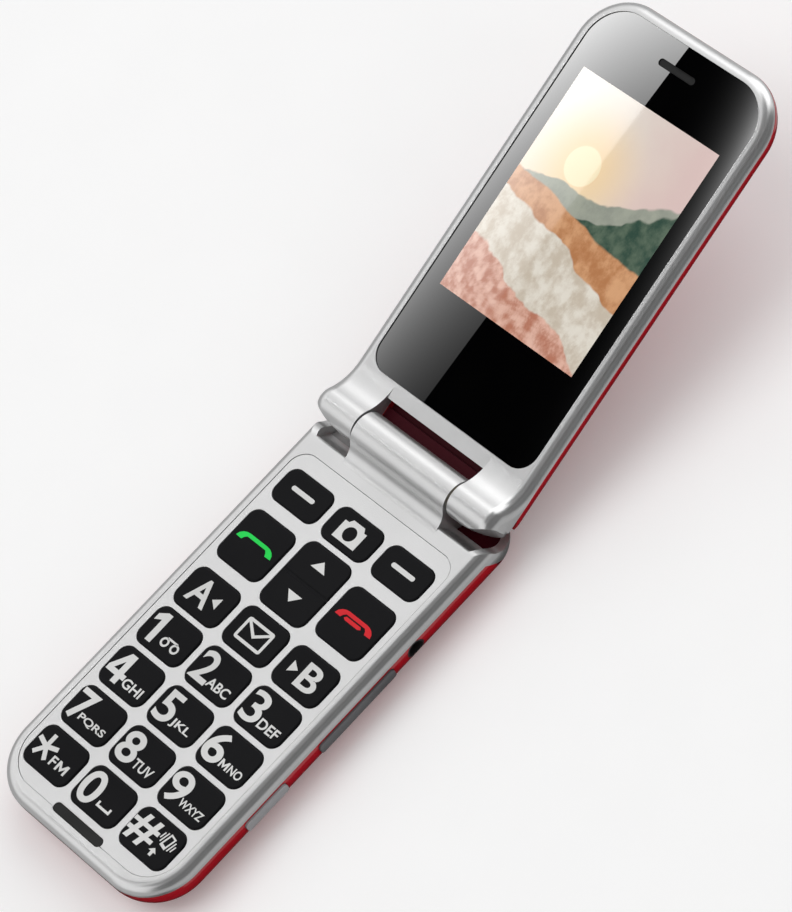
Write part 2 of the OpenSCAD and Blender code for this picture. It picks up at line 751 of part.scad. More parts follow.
module base_rear_housing() {
    color("firebrick") difference() {
        union() {
            difference() {
                base_form();
                along_x(big) front_side_view();
                board_space();
            }
            translate([0, 0, skirt_z - eps]) linear_extrude(pocket_lining) scoop_plan(pocket_y, fit);
        }
        both_sides() translate([barrel_half + big / 2, 0, 0]) along_x(big)
            translate([axis_y, axis_z]) circle(scoop_r + pocket_drop);
        along_x(2 * barrel_half) translate([pocket_y, skirt_z]) square([big, big]);
        cover_solid(cover_gap);
        // battery bay
        translate([0, (battery_y0 + battery_y1) / 2, -1]) linear_extrude(bay_top + 1)
            round_rect(battery_w + 2 * battery_gap, battery_l + 2 * battery_gap, battery_r);
        // window for the card holder between the bay and the board
        translate([0, tray_y, bay_top - floor_t]) block([tray[0] + 2 * fit, tray[1] + 2 * fit, 3 * floor_t]);
        // pockets under the board
        pocket([0, contacts_y, contacts_z + fit], contacts);
        pocket([speaker_x, speaker_y, speaker_z], [speaker_w, speaker_l]);
        pocket([motor_x, motor_y, motor_z - motor_r], [motor_l, 2 * motor_r]);
        pocket([motor_x - (motor_l + shaft_l) / 2, motor_y, motor_z - weight_r - weight_gap],
            [shaft_l + weight_gap, 2 * (weight_r + weight_gap)]);
        pocket([side_wall_x - jack_body[0] / 2, jack_y, port_z - jack_under], jack_body);
        pocket([usb_x, jack_y, port_z - usb_body[2] / 2], usb_body);
        pocket([0, shield_y, shield_z], shield);
        pocket([0, antenna_y, antenna_z], antenna);
        sound_outlet();
        flex_channel();
        port_cuts();
        side_key_cut(rocker_y, rocker_l);
        side_key_cut(button_y, button_l);
        rock_pin(run_gap);
        for (at = SCREWS) translate([at[0], at[1], -1]) {
            cylinder(h = big, r = screw_r + fit);
            cylinder(h = at[2] + 1, r = screw_head_r + fit);
        }
    }
}

module battery_cover() {
    color("firebrick") difference() {
        cover_solid(0);
        sound_outlet();
        // finger notch between the sound slots and the battery
        translate([0, cover_y1 - notch_inset, notch_depth - notch_r]) rotate([0, 90, 0])
            cylinder(h = notch_l, r = notch_r, center = true);
    }
}

// ---------- inside the base ----------

module battery() {
    color("dimgray") {
        translate([0, (battery_y0 + battery_y1) / 2, battery_z])
            linear_extrude(battery_t) round_rect(battery_w, battery_l, battery_r - battery_gap);
    }
}

module card_holder() {
    color("lightgray") translate([0, tray_y, bay_top + fit]) difference() {
        block(tray);
        translate([0, 0, -eps]) block(card);
    }
}

module board_outline(inset) {
    outline(board_w - 2 * inset, board_y0 + inset, board_y1 - inset, board_foot_r - inset, board_heel_r - inset);
}

module main_board() {
    color("darkgreen") translate([0, 0, board_z]) linear_extrude(board_t) difference() {
        board_outline(0);
        translate([side_wall_x - jack_body[0] - fit, jack_y - jack_body[1] / 2 - fit])
            square([big, jack_body[1] + 2 * fit]);
        translate([-big - side_wall_x + usb_body[0] + fit, jack_y - usb_body[1] / 2 - fit])
            square([big, usb_body[1] + 2 * fit]);
        for (at = SCREWS) translate([at[0], at[1]]) circle(screw_r + seat);
        for (at = [[rocker_y, rocker_l], [button_y, button_l]])
            translate([board_notch_x, foot_y + at[0] - at[1] / 2 - side_flange_w - board_bite])
                square([big, at[1] + 2 * side_flange_w + 2 * board_bite]);
    }
}

module dome_sheet() {
    color("lightsteelblue") {
        translate([0, 0, board_top]) linear_extrude(sheet_t) difference() {
            outline(key_w + 2 * col_pitch, row0 - key_l / 2, soft_y + soft_l / 2, mat_r, mat_r);
            translate([side_wall_x - jack_body[0] - board_bite, jack_y - jack_body[1] / 2 - board_bite])
                square([big, jack_body[1] + 2 * board_bite]);
        }
        for (key = KEYS) translate([key[0] * col_pitch, key[1] - dome_shift(key), sheet_top - eps])
            cylinder(h = dome_h + eps, r = dome_r);
        // the up and down key has a second dome
        translate([0, call_y + nav_dome, sheet_top - eps]) cylinder(h = dome_h + eps, r = dome_r);
    }
}

module key_mat() {
    color("whitesmoke") translate([0, 0, mat_z]) linear_extrude(mat_t)
        outline(key_w + 2 * col_pitch + 1, row0 - key_l / 2, soft_y + soft_l / 2, mat_r, mat_r);
}

module shield_can() {
    color("silver") translate([0, shield_y, shield_z]) difference() {
        block(shield);
        translate([0, 0, shield_t]) block([shield[0] - 2 * shield_t, shield[1] - 2 * shield_t, shield[2]]);
    }
}

module microphone() {
    color("gray") translate([0, mic_y, board_top + fit]) cylinder(h = mic_h, r = mic_r);
}

module loudspeaker() {
    color("black") translate([speaker_x, speaker_y, speaker_z]) difference() {
        linear_extrude(speaker_t) round_rect(speaker_w, speaker_l, speaker_r);
        translate([0, 0, -eps]) linear_extrude(cone_depth)
            round_rect(speaker_w - 2 * speaker_rim, speaker_l - 2 * speaker_rim, speaker_r - speaker_rim / 2);
    }
}

module vibration_motor() {
    color("silver") translate([motor_x, motor_y, motor_z]) rotate([0, 90, 0]) {
        cylinder(h = motor_l, r = motor_r, center = true);
        translate([0, 0, -motor_l / 2 - shaft_l + eps]) cylinder(h = shaft_l, r = shaft_r);
    }
}

module vibration_weight() {
    color("dimgray") translate([motor_x - motor_l / 2 - shaft_l + weight_gap, motor_y, motor_z]) rotate([0, 90, 0])
        difference() {
            union() {
                intersection() {
                    cylinder(h = weight_l, r = weight_r);
                    translate([0, -big / 2, -1]) cube([big, big, big]);
                }
                cylinder(h = weight_l, r = weight_hub_r);
            }
            translate([0, 0, -1]) cylinder(h = weight_l + 2, r = shaft_r + run_gap);
        }
}

module headphone_jack() {
    color([0.1, 0.1, 0.1]) difference() {
        union() {
            translate([side_wall_x - jack_body[0] / 2, jack_y, port_z - jack_under])
                block([jack_body[0], jack_body[1], jack_under + jack_over]);
            intersection() {
                translate([side_wall_x - eps, jack_y, port_z]) rotate([0, 90, 0])
                    cylinder(h = big, r = jack_nose_r);
                base_form();
            }
        }
        translate([base_w / 2 - jack_bore_l, jack_y, port_z]) rotate([0, 90, 0])
            cylinder(h = jack_bore_l + 1, r = jack_bore_r);
    }
}

module usb_port() {
    color("silver") translate([usb_x, jack_y, port_z - usb_body[2] / 2]) difference() {
        block(usb_body);
        translate([-usb_back_t, 0, usb_shell_t])
            block([usb_body[0], usb_body[1] - 2 * usb_shell_t, usb_body[2] - 2 * usb_shell_t]);
    }
    color([0.1, 0.1, 0.1]) translate([usb_x + usb_back_t / 2, jack_y, port_z - usb_tongue[2] / 2])
        block(usb_tongue);
}

module battery_contacts() {
    color("black") translate([0, contacts_y, contacts_z + fit]) block(contacts);
    color("gold") for (i = [-1 : 1])
        translate([i * contact_pitch, battery_y1 + battery_gap / 2 + fit, battery_z + 1]) block(contact_blade);
}

module antenna() {
    color("black") translate([0, antenna_y, antenna_z]) block(antenna);
}

module base_screws() {
    color("gray") for (at = SCREWS) translate([at[0], at[1], at[2] - screw_head_t - fit]) difference() {
        union() {
            cylinder(h = screw_head_t, r = screw_head_r);
            cylinder(h = web_under - at[2] + screw_head_t - 2 * seat, r = screw_r - screw_fit);
        }
        for (turn = [0, 90]) rotate(turn) translate([0, 0, -eps]) block(screw_cross);
    }
}

// ---------- side keys ----------

// Hole through the side wall and the pocket behind it
module side_key_cut(at, length) {
    translate([side_seat_x - side_flange_t, foot_y + at, side_key_z]) rotate([90, 0, 90]) linear_extrude(big)
        round_rect(length + 2 * side_gap, side_key_h + 2 * side_gap, side_key_r + side_gap);
    translate([switch_x - fit, foot_y + at - length / 2 - side_flange_w - side_gap,
            side_key_z - side_key_h / 2 - side_gap])
        cube([side_seat_x + fit - switch_x, length + 2 * side_flange_w + 2 * side_gap, big]);
}

// A key in the side wall that follows the wall's curve and stands out of it
module side_key(at, length, relief) {
    translate([0, foot_y + at, 0]) {
        intersection() {
            translate([0, -foot_y - at, -side_key_proud])
                soft_slab(base_w + 2 * side_key_proud, foot_y - side_key_proud, heel_y + side_key_proud,
                    base_t + 2 * side_key_proud, foot_r + side_key_proud, heel_r + side_key_proud,
                    back_edge_r + side_key_proud, front_edge_r + side_key_proud);
            translate([side_seat_x - relief - eps, 0, side_key_z]) rotate([90, 0, 90])
                linear_extrude(big) round_rect(length, side_key_h, side_key_r);
        }
        translate([side_seat_x - relief - side_flange_t, -length / 2 - side_flange_w,
                side_key_z - side_key_h / 2])
            cube([side_flange_t, length + 2 * side_flange_w, side_key_h]);
    }
}

module volume_rocker() {
    color([0.35, 0.35, 0.36]) {
        side_key(rocker_y, rocker_l, rock_relief);
        rock_pin(0);
    }
}

// Pin under the rocker's middle, which it rocks on
module rock_pin(gap) {
    translate([rock_pin_x, foot_y + rocker_y, side_key_z - side_key_h / 2 - rock_pin_l - 2 * gap])
        cylinder(h = rock_pin_l + 2 * gap + eps, r = rock_pin_r + gap);
}

module side_button() {
    color([0.5, 0.5, 0.5]) side_key(button_y, button_l, 0);
}

// A small switch for each place that is pressed, soldered under the board's edge
module side_switches() {
    color("black") {
        for (at = [rocker_y - rocker_l * 0.3, rocker_y + rocker_l * 0.3]) side_switch(at, rock_reach);
        side_switch(button_y, rock_relief);
    }
}

module side_switch(at, reach) {
    translate([switch_x, foot_y + at - switch_w / 2, side_key_z - side_key_h / 2 + switch_lift])
        cube([switch_t + reach - fit, switch_w, board_z - fit - side_key_z + side_key_h / 2 - switch_lift]);
}

// ---------- keys ----------

module key_cap(col, y, length) {
    color([0.12, 0.12, 0.13]) translate([col * col_pitch, y, 0]) {
        translate([0, 0, flange_top - eps])
            soft_slab(key_w, -length / 2, length / 2, key_top - flange_top + eps, key_r, key_r, 0, key_edge);
        translate([0, 0, flange_z])
            linear_extrude(flange_t) round_rect(key_w + 2 * flange_w, length + 2 * flange_w, key_r);
    }
}

module number_key(col, row) {
    key_cap(col, row0 + row * row_pitch, key_l);
}

module key_soft_left() { key_cap(-1, soft_y, soft_l); }
module key_camera() { key_cap(0, soft_y, soft_l); }
module key_soft_right() { key_cap(1, soft_y, soft_l); }
module key_call() { key_cap(-1, call_y, call_l); }
module key_end() { key_cap(1, call_y, call_l); }
module key_memory_a() { key_cap(-1, row0 + 4 * row_pitch, memory_l); }
module key_message() { key_cap(0, row0 + 4 * row_pitch, memory_l); }
module key_memory_b() { key_cap(1, row0 + 4 * row_pitch, memory_l); }
module key_1() { number_key(-1, 3); }
module key_2() { number_key(0, 3); }
module key_3() { number_key(1, 3); }
module key_4() { number_key(-1, 2); }
module key_5() { number_key(0, 2); }
module key_6() { number_key(1, 2); }
module key_7() { number_key(-1, 1); }
module key_8() { number_key(0, 1); }
module key_9() { number_key(1, 1); }
module key_star() { number_key(-1, 0); }
module key_0() { number_key(0, 0); }
module key_hash() { number_key(1, 0); }

// Rocking key for up and down, with a shallow valley across its middle
module key_nav() {
    color([0.12, 0.12, 0.13]) translate([0, call_y, 0]) difference() {
        union() {
            translate([0, 0, flange_top - nav_relief - eps])
                soft_slab(key_w, -nav_l / 2, nav_l / 2, key_top - flange_top + nav_relief + eps,
                    key_r, key_r, 0, key_edge);
            translate([0, 0, flange_z]) linear_extrude(flange_t - nav_relief)
                round_rect(key_w + 2 * flange_w, nav_l + 2 * flange_w, key_r);
        }
        translate([0, 0, key_top + nav_valley_r - nav_valley]) rotate([0, 90, 0])
            cylinder(h = big, r = nav_valley_r, center = true);
    }
}

// ---------- hinge ----------

module hinge_can() {
    color("silver") translate([-barrel_half, axis_y, axis_z]) rotate([0, 90, 0]) difference() {
        cylinder(h = can_l, r = can_r);
        translate([0, 0, -1]) cylinder(h = can_l - can_floor + 1, r = cam_r + run_gap);
    }
}

module hinge_cam() {
    color("dimgray") in_lid() translate([-barrel_half - cam_seat_l - cam_end_gap, 0, 0]) rotate([0, 90, 0]) {
        intersection() {
            cylinder(h = cam_seat_l, r = cam_r);
            block([2 * cam_r, 2 * cam_r * cam_flat, big]);
        }
        translate([0, 0, cam_seat_l - eps]) cylinder(h = cam_grip_l, r = cam_r);
    }
}

module hinge_bush() {
    color("gold") in_lid() translate([barrel_half - bush_in, 0, 0]) rotate([0, 90, 0]) difference() {
        cylinder(h = bush_in + bush_out, r = bush_r);
        translate([0, 0, -1]) cylinder(h = big, r = bush_bore_r);
    }
}

// Ribbon rolled up inside the barrel, with its tail on the main board
module base_flex() {
    color("orange") {
        translate([flex_x - flex_w / 2, axis_y, axis_z]) rotate([0, 90, 0])
            cylinder(h = flex_split_x - flex_x + flex_w / 2, r = flex_r);
        translate([flex_x, axis_y, board_top + 2 * seat]) block([flex_w, flex_t, axis_z - board_top]);
        translate([flex_x, axis_y + flex_t / 2 - flex_tail / 2, board_top + 2 * seat])
            block([flex_w, flex_tail, flex_t]);
    }
}

// The same ribbon's other half, through the hollow pin and the knuckle to the lid's board
module lid_flex() {
    color("orange") in_lid() {
        translate([flex_split_x + seat, 0, 0]) rotate([0, 90, 0])
            cylinder(h = lid_flex_x + flex_w / 2 - flex_split_x - seat, r = flex_r);
        translate([lid_flex_x, lid_tail_y / 2, lid_flex_z]) block([flex_w, lid_tail_y + flex_t, flex_t]);
        translate([lid_flex_x, 0, lid_flex_z]) block([flex_w, flex_t, -lid_flex_z]);
        translate([lid_flex_x, lid_tail_y, lid_board_z + lid_board[2] + fit])
            block([flex_w, flex_t, lid_flex_z - lid_board_z - lid_board[2] - fit + eps]);
    }
}

// ---------- lid ----------

// Side view that thins the lid's back towards the hinge
module lid_side_view() {
    difference() {
        translate([0, lid_back - 1]) square([big, big]);
        difference() {
            translate([-1, lid_back - 2]) square([slope_start + 1, slope_r + 2]);
            translate([slope_start, lid_back + slope_r]) circle(slope_r);
        }
    }
}

module lid_form(inset = 0) {
    intersection() {
        translate([0, 0, lid_back + inset])
            soft_slab(base_w - 2 * inset, -lid_back_edge_r, lid_reach - inset, lid_t - 2 * inset,
                lid_back_edge_r, lid_r - inset, lid_back_edge_r - inset, max(lid_edge_r - inset, key_edge));
        along_x(big) lid_side_view();
    }
}

// Keeps clear of the base's end face when the lid is open
module stop_plane() {
    rotate([-open_tilt, 0, 0]) translate([-knuckle_x, -big + barrel_r + stop_gap, -big / 2])
        cube([2 * knuckle_x, big, big]);
}

// Front view of all that lies inside the taper of a knuckle's foot side
module taper_view() {
    middle = [knuckle_x + knuckle_plain, knuckle_along - knuckle_r + taper_r];
    translate(middle) circle(taper_r);
    translate([0, middle[1] - taper_r]) square([middle[0], big]);
    translate([0, middle[1]]) square([base_w / 2, big]);
}

// One knuckle with the ramp that leads up to it, on the +X side
module knuckle() {
    h = lid_face - knuckle_out;
    centre = [sqrt(pow(knuckle_r + ramp_r, 2) - pow(h + ramp_r, 2)), h + ramp_r];
    touch = centre * knuckle_r / (knuckle_r + ramp_r);
    length = base_w / 2 - knuckle_x;
    depth = centre[1] + knuckle_r + lid_edge_r;
    intersection() {
        translate([0, knuckle_along, knuckle_out]) {
            translate([knuckle_x, 0, 0]) rotate([0, 90, 0])
                rotate_extrude() edge_section(knuckle_r, length, 0, lid_edge_r);
            intersection() {
                along_x(big) polygon([[0, lid_split - knuckle_out], [0, 0], touch, [centre[0], h],
                    [centre[0], lid_split - knuckle_out]]);
                translate([knuckle_x, centre[0], centre[1]]) rotate([0, 90, 0]) rotate_extrude()
                    translate([ramp_r + depth, 0]) mirror([1, 0]) edge_section(depth, length, 0, lid_edge_r);
            }
        }
        translate([0, 0, -big / 2]) linear_extrude(big) taper_view();
    }
}

module lid_front_cover() {
    color("silver") in_lid() {
        difference() {
            union() {
                intersection() {
                    lid_form();
                    translate([-big / 2, lid_root_y, lid_split]) cube(big);
                }
                both_sides() knuckle();
            }
            // slot that clears the barrel
            translate([-knuckle_x, -big + slot_edge, -big / 2]) cube([2 * knuckle_x, big, big]);
            // window recess and the opening behind it
            translate([0, 0, glass_z - seat]) linear_extrude(big)
                outline(window_w + 2 * fit, window_start - fit, window_y1 + fit, window_low_r, window_top_r);
            translate([0, module_y + module_size[1] / 2, lid_split - 1])
                linear_extrude(big) round_rect(module_size[0] + 2 * fit, module_size[1] + 2 * fit, module_r);
            translate([0, ear_y, lid_split - 1])
                linear_extrude(big) round_rect(earpiece[0] + 2 * fit, earpiece[1] + 2 * fit, module_r);
            // seats of the hinge pins
            translate([-knuckle_x - cam_seat_l, 0, 0]) rotate([0, 90, 0]) intersection() {
                cylinder(h = cam_seat_l + 1, r = cam_r + fit / 2);
                block([big, 2 * cam_r * cam_flat + fit, big]);
            }
            translate([knuckle_x - 1, 0, 0]) rotate([0, 90, 0])
                cylinder(h = bush_out - knuckle_gap + fit + 1, r = bush_r + fit / 2);
            // way of the flex from the knuckle into the lid
            translate([knuckle_x, 0, 0]) rotate([0, 90, 0])
                cylinder(h = lid_flex_x - knuckle_x + flex_w / 2 + flex_room, r = bush_bore_r);
            translate([lid_flex_x, lid_tail_y / 2, lid_flex_z - flex_room])
                block([flex_w + 2 * flex_room, lid_tail_y + 4 * flex_room, flex_t + 2 * flex_room]);
            for (at = LID_SCREWS) translate([at[0], at[1], lid_split - 1])
                cylinder(h = big, r = screw_head_r + fit);
        }
        // bosses for the screws that lie under the window
        for (at = LID_SCREWS) translate([at[0], at[1], lid_boss_split]) difference() {
            cylinder(h = glass_z - seat - lid_boss_split, r = lid_boss_r);
            translate([0, 0, -1]) cylinder(h = big, r = screw_r + fit);
            translate([0, 0, lid_head_z - lid_boss_split]) cylinder(h = big, r = screw_head_r + fit);
        }
    }
}

module lid_rear_cover() {
    color("firebrick") in_lid() {
        difference() {
            intersection() {
                lid_form();
                translate([-big / 2, lid_root_y, lid_back - 1]) cube([big, big, lid_split - lid_back + 1]);
            }
            both_sides() translate([knuckle_x - eps, knuckle_along, knuckle_out]) rotate([0, 90, 0])
                cylinder(h = big, r = knuckle_r + fit);
            stop_plane();
            // inner space
            difference() {
                intersection() {
                    lid_form(lid_wall);
                    translate([-big / 2, slot_edge + lid_wall, lid_back]) cube([big, big, big]);
                }
                for (at = LID_SCREWS) translate([at[0], at[1], lid_back])
                    cylinder(h = lid_boss_split - fit - lid_back, r = lid_boss_r);
            }
            for (at = LID_SCREWS) translate([at[0], at[1], lid_floor]) cylinder(h = lid_t, r = screw_r);
            // step in the floor of the slot
            translate([-knuckle_x, slot_edge - step_w, lid_split - step_drop]) cube([2 * knuckle_x, step_w, big]);
            // seat of the camera's window and the hole behind it
            translate([0, camera_y, lid_back - 1]) {
                cylinder(h = 1 + camera_glass_t + fit, r = camera_r + fit);
                cylinder(h = lid_t, r = camera_barrel_r + seat);
            }
        }
    }
}

module display_window() {
    color([0.05, 0.05, 0.06]) in_lid() translate([0, 0, glass_z]) linear_extrude(window_t) difference() {
        outline(window_w, window_start, window_y1, window_low_r, window_top_r);
        translate([0, ear_y]) round_rect(ear_l, ear_w, ear_w / 2 - eps);
    }
}

module display_module() {
    color([0.2, 0.2, 0.25]) in_lid() translate([0, module_y + module_size[1] / 2, module_z])
        linear_extrude(module_t) round_rect(module_size[0], module_size[1], module_r);
}

module earpiece_mesh() {
    color("black") in_lid() translate([0, ear_y, glass_z]) linear_extrude(window_t - mesh_sunk)
        round_rect(ear_l - 2 * fit, ear_w - 2 * fit, ear_w / 2 - fit - eps);
}

module earpiece_driver() {
    color("gray") in_lid() translate([0, ear_y, glass_z - seat - earpiece[2]])
        linear_extrude(earpiece[2]) round_rect(earpiece[0], earpiece[1], module_r);
}

module lid_board_assembly() {
    color("darkgreen") in_lid() translate([0, lid_board_y + lid_board[1] / 2, lid_board_z])
        block(lid_board);
}

module camera_module() {
    color("black") in_lid() translate([0, camera_y, lid_floor + fit]) {
        block([camera[0], camera[1], module_z - lid_floor - 2 * fit]);
        translate([0, 0, -camera_barrel_l]) cylinder(h = camera_barrel_l + eps, r = camera_barrel_r);
    }
}

module camera_window() {
    color([0.05, 0.05, 0.06]) in_lid() translate([0, camera_y, lid_back])
        cylinder(h = camera_glass_t, r = camera_r);
}

module lid_magnet() {
    color("gray") in_lid() translate([magnet_at[0], magnet_at[1], lid_floor + fit]) block(magnet);
}

module lid_screws() {
    color("gray") in_lid() for (at = LID_SCREWS) translate([at[0], at[1], lid_floor + seat]) {
        cylinder(h = lid_head_z - lid_floor, r = screw_r - screw_fit);
        translate([0, 0, lid_head_z + fit - lid_floor - seat]) cylinder(h = lid_head_t, r = screw_head_r);
    }
}

base_front_cover();
keypad_plate();
mic_grille();
base_rear_housing();
battery_cover();
battery();
key_mat();
dome_sheet();
main_board();
shield_can();
microphone();
loudspeaker();
vibration_motor();
vibration_weight();
headphone_jack();
usb_port();
battery_contacts();
card_holder();
antenna();
hinge_can();
hinge_cam();
hinge_bush();
base_flex();
lid_flex();
base_screws();
volume_rocker();
side_button();
side_switches();
key_soft_left();
key_camera();
key_soft_right();
key_call();
key_nav();
key_end();
key_memory_a();
key_message();
key_memory_b();
key_1();
key_2();
key_3();
key_4();
key_5();
key_6();
key_7();
key_8();
key_9();
key_star();
key_0();
key_hash();
lid_front_cover();
lid_rear_cover();
display_window();
display_module();
earpiece_mesh();
earpiece_driver();
lid_board_assembly();
camera_module();
camera_window();
lid_magnet();
lid_screws();
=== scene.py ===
# %% [markdown]
# # A flip phone, dressed in its finishes
# The solids of the phone come in ready made, as a fixed frame of named nodes. This lesson adds
# what a modelling program for machine parts leaves out: paint, print on the keys, a lit picture
# on the screen, the lens of the rear camera, a studio and a camera.

import json
import math

import bmesh
import bpy
from mathutils import Matrix, Vector


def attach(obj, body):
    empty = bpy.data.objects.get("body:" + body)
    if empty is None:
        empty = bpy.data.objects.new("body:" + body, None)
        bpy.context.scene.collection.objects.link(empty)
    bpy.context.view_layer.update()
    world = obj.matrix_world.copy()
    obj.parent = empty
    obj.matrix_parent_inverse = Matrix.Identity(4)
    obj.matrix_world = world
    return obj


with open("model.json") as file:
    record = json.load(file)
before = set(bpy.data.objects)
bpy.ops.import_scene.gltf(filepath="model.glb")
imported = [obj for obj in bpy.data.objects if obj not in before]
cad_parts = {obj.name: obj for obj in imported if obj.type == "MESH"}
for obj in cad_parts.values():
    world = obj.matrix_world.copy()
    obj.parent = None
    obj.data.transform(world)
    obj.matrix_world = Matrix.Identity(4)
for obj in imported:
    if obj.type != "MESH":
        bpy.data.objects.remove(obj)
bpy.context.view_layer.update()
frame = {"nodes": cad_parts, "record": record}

# %% [markdown]
# ## Sizes
# Blender works in metres, and drawings of small things in millimetres, so one number turns one
# into the other. The lid is easiest to draw flat, in its own space: the origin on the hinge axis,
# Y along the lid and Z out of the screen. One matrix puts such a drawing in its place.

# %% Millimetres and the lid's own space
MM = 0.001
KEY_TOP = 10.5
HINGE_Y = 45.7
HINGE_Z = 11.6
LID_TILT = math.radians(17)
LID_REACH = 95.6
GLASS_TOP = -0.59
LID_BACK = -7.19

mm_space = Matrix.Scale(MM, 4)
lid_space = (
    mm_space
    @ Matrix.Translation((0, HINGE_Y, HINGE_Z))
    @ Matrix.Rotation(LID_TILT, 4, "X")
)
print("lid's end", [round(v, 4) for v in lid_space @ Vector((0, LID_REACH, 0))])


# %% [markdown]
# ## Making a piece
# Every new piece starts as a bmesh drawn in millimetres. One helper moves it into place, turns it
# into an object, shades it, gives it a finish and lets it ride on the part of the phone that
# carries it.


# %% Helpers: from bmesh to a piece that rides on a body
def make_mesh(name, bm):
    mesh = bpy.data.meshes.new(name)
    bm.to_mesh(mesh)
    bm.free()
    return mesh


def link_object(name, data):
    made = bpy.data.objects.new(name, data)
    bpy.context.collection.objects.link(made)
    return made


def make_piece(name, bm, space, body, finish, smooth=False):
    bmesh.ops.transform(bm, matrix=space, verts=bm.verts)
    bmesh.ops.recalc_face_normals(bm, faces=bm.faces)
    mesh = make_mesh(name, bm)
    for face in mesh.polygons:
        face.use_smooth = smooth
    mesh.materials.append(finish)
    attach(link_object(name, mesh), body)


# %% [markdown]
# ## Building blocks of a material
# A material is a tree of nodes, and most trees below repeat the same few steps: a sum, a change
# of range, a mix of two colours, a noise. Each helper adds one node, feeds it with a number or
# with the output of an earlier node, and returns its own output for the next step.


# %% Helpers: one node each
def feed(tree, socket, value):
    if isinstance(value, bpy.types.NodeSocket):
        tree.links.new(value, socket)
    else:
        socket.default_value = value


def add_math(tree, operation, *values):
    node = tree.nodes.new("ShaderNodeMath")
    node.operation = operation
    for socket, value in zip(node.inputs, values):
        feed(tree, socket, value)
    return node.outputs["Value"]


def add_range(tree, value, low, high, start=0.0, end=1.0, smooth=False, clamp=True):
    node = tree.nodes.new("ShaderNodeMapRange")
    node.clamp = clamp
    if smooth:
        node.interpolation_type = "SMOOTHSTEP"
    for socket, level in zip(node.inputs, (value, low, high, start, end)):
        feed(tree, socket, level)
    return node.outputs["Result"]


def add_mix(tree, amount, under, over, kind="RGBA"):
    node = tree.nodes.new("ShaderNodeMix")
    node.data_type = kind
    for name, value in (("Factor", amount), ("A", under), ("B", over)):
        feed(tree, node.inputs[name], (*value, 1) if isinstance(value, tuple) else value)
    return node.outputs["Result"]


def add_noise(tree, spot, scale, detail, rough=0.5):
    node = tree.nodes.new("ShaderNodeTexNoise")
    for name, value in (("Vector", spot), ("Scale", scale), ("Detail", detail),
                        ("Roughness", rough)):
        feed(tree, node.inputs[name], value)
    return node.outputs["Fac"]


# %% [markdown]
# ## Finishes
# Moulded and painted plastic is never one even colour. Each finish below starts from a Principled
# shader and adds, from noise in the piece's own space, a slight change of colour, a change of
# gloss where hands have rubbed it, and a fine grain in the surface. Settings that are the same
# everywhere are typed on the shader itself, so that they survive an export.

# %% Helper: a finish with colour drift, uneven gloss and grain
DRIFT_DARK = 0.35
DRIFT_LIGHT = 0.65
GLOSS_LOW = 0.2
GLOSS_HIGH = 0.8
GRAIN_DEPTH = 0.05 * MM


def make_finish(name, dark, light, rough, metallic=0.0, grain=0.0, grain_scale=2500.0,
                drift_scale=60.0, coat=0.0, coat_rough=0.03, specular=0.5, ior=1.5, stretch=None):
    finish = bpy.data.materials.new(name)
    finish.use_nodes = True
    tree = finish.node_tree
    shader = tree.nodes["Principled BSDF"]
    for socket_name, value in (("Metallic", metallic), ("Coat Weight", coat),
                               ("Coat Roughness", coat_rough), ("Specular IOR Level", specular),
                               ("IOR", ior)):
        shader.inputs[socket_name].default_value = value
    spot = tree.nodes.new("ShaderNodeTexCoord").outputs["Object"]
    if stretch:
        mapping = tree.nodes.new("ShaderNodeMapping")
        feed(tree, mapping.inputs["Scale"], stretch)
        feed(tree, mapping.inputs["Vector"], spot)
        spot = mapping.outputs["Vector"]
    drift = add_noise(tree, spot, drift_scale, 4.0)
    ramp = tree.nodes.new("ShaderNodeValToRGB")
    for element, position, colour in zip(ramp.color_ramp.elements, (DRIFT_DARK, DRIFT_LIGHT),
                                         (dark, light)):
        element.position = position
        element.color = (*colour, 1)
    feed(tree, ramp.inputs["Fac"], drift)
    feed(tree, shader.inputs["Base Color"], ramp.outputs["Color"])
    gloss = add_range(tree, drift, GLOSS_LOW, GLOSS_HIGH, *rough, smooth=True)
    feed(tree, shader.inputs["Roughness"], gloss)
    if grain > 0:
        bump = tree.nodes.new("ShaderNodeBump")
        feed(tree, bump.inputs["Strength"], grain)
        feed(tree, bump.inputs["Distance"], GRAIN_DEPTH)
        feed(tree, bump.inputs["Height"], add_noise(tree, spot, grain_scale, 2.0))
        feed(tree, shader.inputs["Normal"], bump.outputs["Normal"])
    return finish


# %% [markdown]
# ## The finishes of the outside
# The front of both halves is silver paint: a pigment with fine metal flake under a satin lacquer,
# so it is mostly metallic; the keypad plate has a coarser, more diffuse coat. The backs are dark
# red plastic, moulded in colour and polished, which needs a clear coat. Keys are black with a
# soft touch, and the window is black-backed and mirror smooth.

# %% Outside finishes
silver_paint = make_finish("silver_paint", (0.66, 0.66, 0.66), (0.71, 0.71, 0.71), (0.28, 0.31),
                           metallic=0.85, grain=0.15, grain_scale=4500)
silver_keypad = make_finish("silver_keypad", (0.71, 0.71, 0.71), (0.75, 0.75, 0.75), (0.34, 0.42),
                            metallic=0.60, grain=0.45, grain_scale=4500)
red_gloss = make_finish("red_gloss", (0.37, 0.002, 0.009), (0.395, 0.003, 0.012), (0.28, 0.34),
                        grain=0.05, coat=1.0, coat_rough=0.03, specular=0.12)
key_black = make_finish("key_black", (0.0045, 0.0045, 0.0055), (0.0065, 0.0065, 0.0075),
                        (0.40, 0.50), grain=0.20, grain_scale=5000, specular=0.09)
window_black = make_finish("window_black", (0.0008, 0.0008, 0.001), (0.0012, 0.0012, 0.0014),
                           (0.0, 0.004), coat=1.0, coat_rough=0.0, ior=1.6)
